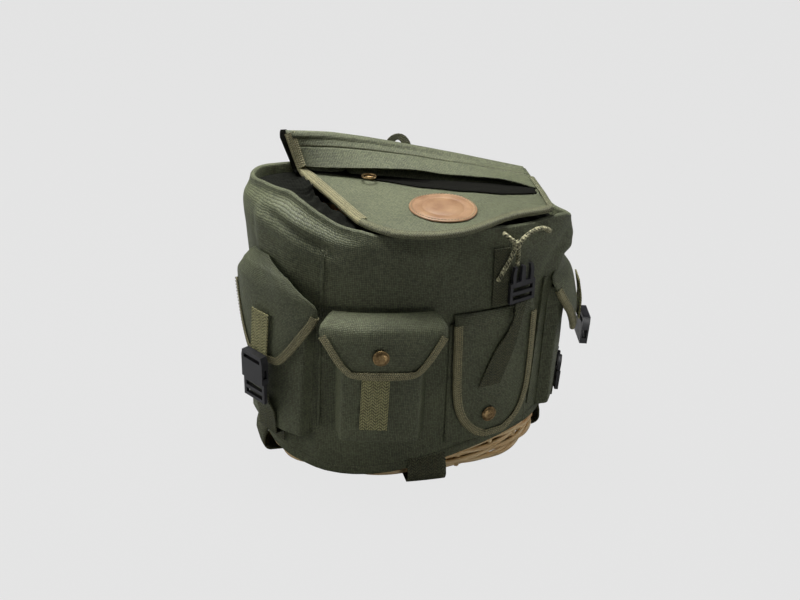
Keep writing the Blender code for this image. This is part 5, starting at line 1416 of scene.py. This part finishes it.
def lidMiddle(u, v):  # v is -1 at the hinge, 0 at the crest and 1 at the front edge
    crest = lidCorner("backLeft").lerp(lidCorner("backRight"), u)
    crest.z += easedInterp(u, lid["crestAcross"], lid["crestLift"])
    if v < 0:
        hinge = Vector((mix(lid["hingeLeft"], lid["hingeRight"], u), lid["hingeDepth"],
                        body["rimHeight"] + lid["hingeRise"] - lid["hingeSag"] * u * u))
        return crest.lerp(hinge, -v)
    fold = lidCorner("foldLeft").lerp(lidCorner("foldRight"), u)
    if v < lid["foldShare"]:
        return crest.lerp(fold, v / lid["foldShare"])
    front = lidCorner("frontLeft").lerp(lidCorner("frontRight"), u)
    front.y -= lid["frontBulge"] * easedInterp(u, lid["bulgeAcross"], lid["bulge"])
    ahead = (v - lid["foldShare"]) / (1 - lid["foldShare"])
    point = fold.lerp(front, ahead)
    point.z += lid["crown"] * 16 * ahead * (1 - ahead) * u * (1 - u)
    return point


def lidNormal(u, v):
    step = 0.01
    lowU, highU = max(u - step, 0), min(u + step, 1)
    lowV, highV = (max(v - step, 0), min(v + step, 1)) if v > 0 else (v, v + step)
    across = lidMiddle(highU, v) - lidMiddle(lowU, v)
    down = lidMiddle(u, highV) - lidMiddle(u, lowV)
    return down.cross(across).normalized()


def crestNormal(u, v):
    across = lidMiddle(min(u + 0.01, 1), v) - lidMiddle(max(u - 0.01, 0), v)
    down = lidMiddle(u, -0.9) - lidMiddle(u, -0.1)
    back = across.cross(down).normalized()
    if v > -0.12:
        return (back.lerp(lidNormal(u, 0.01), 0.5 + v * 4)).normalized()
    return back


def onLid(u, v, outward):
    return lidMiddle(u, v) + lidNormal(u, v) * (lid["thickness"] / 2 + outward)


def lidShareAhead(u, v, along):  # the share that lies a distance further from the crest
    step = 0.01
    return v + along / ((lidMiddle(u, v + step) - lidMiddle(u, v)).length / step)


def lidShareAt(x, y, u=0.5, v=0.6):  # the shares whose place on the lid is at x, y
    for _ in range(6):
        base = lidMiddle(u, v)
        across = (lidMiddle(u + 0.005, v) - base) / 0.005
        along = (lidMiddle(u, v + 0.005) - base) / 0.005
        gapX, gapY = x - base.x, y - base.y
        scale = across.x * along.y - across.y * along.x
        u += (gapX * along.y - gapY * along.x) / scale
        v += (gapY * across.x - gapX * across.y) / scale
    return u, v


def lidRelief(u, v):
    return (0.0012 * ripple((u * 0.25, v * 0.17, 0), 0.04, 2) * smoothStep(v * 3)
            + 0.0003 * ripple((u * 0.25, v * 0.17, 0), 0.012, 5))


def buildLidPanel():
    def pointAt(u, v):
        normal = lidNormal(u, v) if v > 0 else crestNormal(u, v)
        return lidMiddle(u, v) + normal * (lid["clothSeat"] + (lidRelief(u, v) if v > 0.3 else 0))

    rows = [-1 + 0.1 * k for k in range(10)] + spread(44)
    mesh = sheetMesh("lid_cloth", spread(80), rows, pointAt, Vector((0, 0, 1)))
    canvasPiece("lid_cloth", mesh, lid["cloth"], ["lid_panel"], "lid")


def bandPoint(u, v):  # v runs from the crest to the lip
    gape = band["lift"] * v ** 1.6 * easedInterp(u, band["gapeAcross"], band["gape"])
    roll = band["roll"] * math.sin(math.pi * min(v / 0.22, 1)) * (1 - smoothStep((v - 0.1) / 0.3))
    wave = band["wave"] * ripple((u * 0.26, v * 0.05, 0), 0.03, 3)
    groove = band["groove"] * math.exp(-((v - band["grooveShare"]) / band["grooveWidth"]) ** 2)
    return onLid(mix(band["from"], band["to"], u), mix(band["top"], band["edge"], v),
                 band["seat"] + gape + roll - groove + wave * (0.3 + v))


# a near-black sheet standing in for the shadow behind the band's left end: painted shade
def shadeSheetPoint(u, v):
    place = lidMiddle(0, mix(-0.004, lid["foldShare"] * 1.1, v))
    reach = band["shadeSheetReach"] * (1 - 0.35 * v) * min(1, 4 * v + 0.25) ** 0.5
    return place + Vector((mix(-reach, 0.002, u), band["shadeSheetRise"], 0))


def buildLidBand():
    mesh = sheetMesh("zip_band", spread(120), spread(56), bandPoint, Vector((0, 0, 1)))
    canvasPiece("zip_band", mesh, band["thickness"], ["lid_band"], "lid")
    stitchAlong("lid", [bandPoint(u, band["seamShare"]) + Vector((0, 0, band["seamLift"]))
                        for u in spread(100)])
    mesh = sheetMesh("lid_shade_sheet", spread(4), spread(16), shadeSheetPoint, Vector((0, -1, 0.3)))
    thicken(addPiece("lid_shade_sheet", mesh, "paintedShade", "lid", ()), band["shadeSheetThickness"])


def buildLidBinding():
    left = [mix(0.02, 1, share) for share in spread(34)]
    right = [mix(0.11, 1, share) for share in spread(30)]
    edge = [(0, v) for v in left] + [(u, 1) for u in spread(50)[1:-1]] + [(1, v) for v in reversed(right)]
    points = relaxed([lidMiddle(u, v) for u, v in edge], 3)
    frames = edgeFrames(points, lidMiddle(0.5, 0.5), [lidNormal(u, v) for u, v in edge])
    turn = len(left)
    parts = {"lid_tape_left": frames[:turn], "lid_tape_front": frames[turn - 1:]}
    for name, tape in lidTapes.items():
        width = tape["width"]
        mesh = sweepMesh(name, parts[name], tapeProfile(width, 0.0010, 0.0012, lid["thickness"]))
        replaced = ["lid_binding"] if name == "lid_tape_left" else ()
        addPiece(name, mesh, tape["material"], "lid", replaced)
        for share in tape["seams"]:
            stitchAlong("lid", [point + inward * width * share + normal * 0.0036
                                for point, inward, normal in parts[name]])


def patchRing(share, lift, count):
    ring = []
    for x, y in roundProfile(patch["radius"] * share, count):
        u, v = lidShareAt(patch["middle"][0] + x, patch["middle"][1] + y)
        ring.append(onLid(u, v, lift + lidRelief(u, v)))
    return ring


def buildPatch():
    shape = bmesh.new()
    rings = []
    for share, lift in patch["profile"]:
        ring = patchRing(share, lift + patch["seat"], patch["segments"])
        rings.append([shape.verts.new(point) for point in ring])
    shape.faces.new(rings[0])
    shape.faces.new(rings[-1])
    joinRings(shape, rings)
    mesh = finishMesh(bpy.data.meshes.new("patch"), shape, 60)
    addPiece("patch", mesh, "leather", "lid", ["leather_patch"])
    ring = patchRing(patch["seam"], patch["seamLift"], patch["seamSteps"])
    stitchAlong("lid", ring + [ring[0]])


def zipShadePoint(u, v):
    across = mix(*zipShadeTape["ends"], u)
    reach = easedInterp(u, band["gapeAcross"], zipShadeTape["reach"])
    share = lidShareAhead(across, lid["foldShare"], mix(zipShadeTape["top"], reach, v))
    return onLid(across, share, zipShadeTape["seat"] + lidRelief(across, share))


def buildZip():
    # the widened near-black zip tape is painted shade under the band's lip
    mesh = sheetMesh("zip_shade_cloth", spread(70), spread(4), zipShadePoint, Vector((0, 0, 1)))
    thicken(addPiece("zip_shade_cloth", mesh, "zipShadeTape", "lid", ["zip_tape"]), zipShadeTape["thickness"])
    roundedCopy("zip_slider", "zip_slider", "brass", 0.0004, "slider")
    roundedCopy("zip_pull", "zip_pull", "brass", 0.0002, "pull_ring")


def buildHaulLoop():  # pressed down a little, as it lies in the photograph
    piece = tracedBand("haul_loop", "haul_loop")
    foot = min(point.co.z for point in piece.data.vertices)
    for point in piece.data.vertices:
        rise = point.co.z - foot
        point.co.z = foot + rise * haul["press"]
        point.co.x += haul["shear"] * rise


buildLidPanel()
buildLidBand()
buildLidBinding()
buildPatch()
buildZip()
buildHaulLoop()
print("lid")

# Shoulder straps

shoulder = {
    "topStation": 0.052, "footStation": 0.118, "top": 0.262, "foot": 0.060, "bulge": 0.042,
    "width": 0.050, "thickness": 0.0085, "lockShare": 0.66, "footWidth": 0.72, "sections": 40,
    "upper": [(1.0, 0.0), (0.985, 0.26), (0.93, 0.42), (0.86, 0.40), (0.80, 0.46), (0.55, 0.53),
              (0.25, 0.55)],
    "upperMiddle": (0, 0.555), "lower": [(-0.96, -0.32), (-0.80, -0.44), (-0.4, -0.5)],
    "lowerMiddle": (0, -0.5), "seam": (0.86, 0.42),
}


def strapRoute(side, share):
    station = perimeter / 2 - side * mix(shoulder["topStation"], shoulder["footStation"], share)
    height = mix(shoulder["top"], shoulder["foot"], share)
    return station, height, shoulder["bulge"] * math.sin(math.pi * share)


def buildShoulderPad(name, side, node):
    depth, count = shoulder["thickness"], shoulder["sections"]
    profile = mirrored(shoulder["upper"], shoulder["upperMiddle"], (-1, 1))
    profile += mirrored(shoulder["lower"], shoulder["lowerMiddle"], (-1, 1))
    frames = []
    scales = []
    for k in range(count + 1):
        share = shoulder["lockShare"] * k / count
        station, height, outward = strapRoute(side, share)
        before = wallPoint(*strapRoute(side, max(share - 0.01, 0)))
        after = wallPoint(*strapRoute(side, share + 0.01))
        point = wallPoint(station, height, outward + body["gap"] + depth / 2)
        frames.append(wallSection(point, (after - before).normalized(), station, height))
        ends = min(1, 0.35 + 5 * k / count, 0.35 + 5 * (count - k) / count)
        scales.append((shoulder["width"] / 2 * mix(1, shoulder["footWidth"], k / count), depth * ends))
    mesh = sweepMesh(name, frames, profile, scales=scales)
    piece = addPiece(name, mesh, "canvas", "pack", [node])
    seamAcross, seamUp = shoulder["seam"]
    for edge in (seamAcross, -seamAcross):
        stitchAlong("pack", [point + first * edge * scale[0] + second * seamUp * scale[1]
                             for (point, first, second), scale in zip(frames, scales)])


buildShoulderPad("left_shoulder_pad", -1, "left_shoulder_strap")
buildShoulderPad("right_shoulder_pad", 1, "right_shoulder_strap")
print("shoulder straps")

# Drawcord

drawcord = {
    "diameter": 0.0045,
    "left": [(0.0750, 0.2800, 0.0006), (0.0752, 0.2798, 0.0045), (0.0770, 0.2780, 0.0072),
             (0.0800, 0.2750, 0.0075), (0.0833, 0.2720, 0.0072), (0.0847, 0.2628, 0.0068),
             (0.0820, 0.2565, 0.0064), (0.0780, 0.2480, 0.0060), (0.0730, 0.2390, 0.0054),
             (0.0680, 0.2300, 0.0050)],
    "right": [(0.1310, 0.2710, 0.0006), (0.1308, 0.2714, 0.0045), (0.1280, 0.2740, 0.0072),
              (0.1210, 0.2785, 0.0075), (0.1120, 0.2805, 0.0075), (0.1020, 0.2785, 0.0075),
              (0.0965, 0.2750, 0.0073), (0.0922, 0.2716, 0.0072), (0.0890, 0.2624, 0.0068),
              (0.0895, 0.2570, 0.0068), (0.0885, 0.2515, 0.0080), (0.0870, 0.2465, 0.0098)],
    "knot": (0.0875, 0.2680, 0.0066), "knotSize": (0.00115, 0.0014, 0.00125), "knotSteps": 60,
    "knotShare": 0.92, "sides": 12,
}


def tubePiece(name, points, radius, replaced):
    mesh = sweepMesh(name, pathFrames(points), roundProfile(radius, drawcord["sides"]))
    return addPiece(name, mesh, "cord", "pack", replaced)


def buildDrawcord():
    radius = drawcord["diameter"] / 2
    place = wallMatrix(*drawcord["knot"])
    across, deep, up = drawcord["knotSize"]
    knotPath = []
    for k in range(drawcord["knotSteps"] + 1):  # the line of a trefoil knot
        turn = 2 * math.pi * k / drawcord["knotSteps"]
        x = math.sin(turn) + 2 * math.sin(2 * turn)
        y = math.cos(turn) - 2 * math.cos(2 * turn)
        knotPath.append(place @ Vector((x * across, -math.sin(3 * turn) * deep, y * up)))
    knot = tubePiece("cord_knot", knotPath, radius * drawcord["knotShare"], ["drawcord_knot"])
    for side in ("left", "right"):
        points = smoothPath([wallPoint(*stop) for stop in drawcord[side]], 6)
        piece = tubePiece("cord_" + side, points, radius, ["drawcord_" + side, "drawcord_tail_" + side])
        length = runLengths(points)[-1]
        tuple(points[0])


buildDrawcord()
print("drawcord")

# Stitches, one mesh for each body

stitchValues = dict(stitchSizes, Thread=materials["thread"])
for rider, chains in seams.items():
    mesh = runTree("stitches_" + rider, stitches, chains, stitchValues)
    addPiece("stitches_" + rider, mesh, "thread", rider)

for name, node in nodes.items():  # what still shows from the CAD
    if not node.hide_render:
        print("shown as it is:", name)
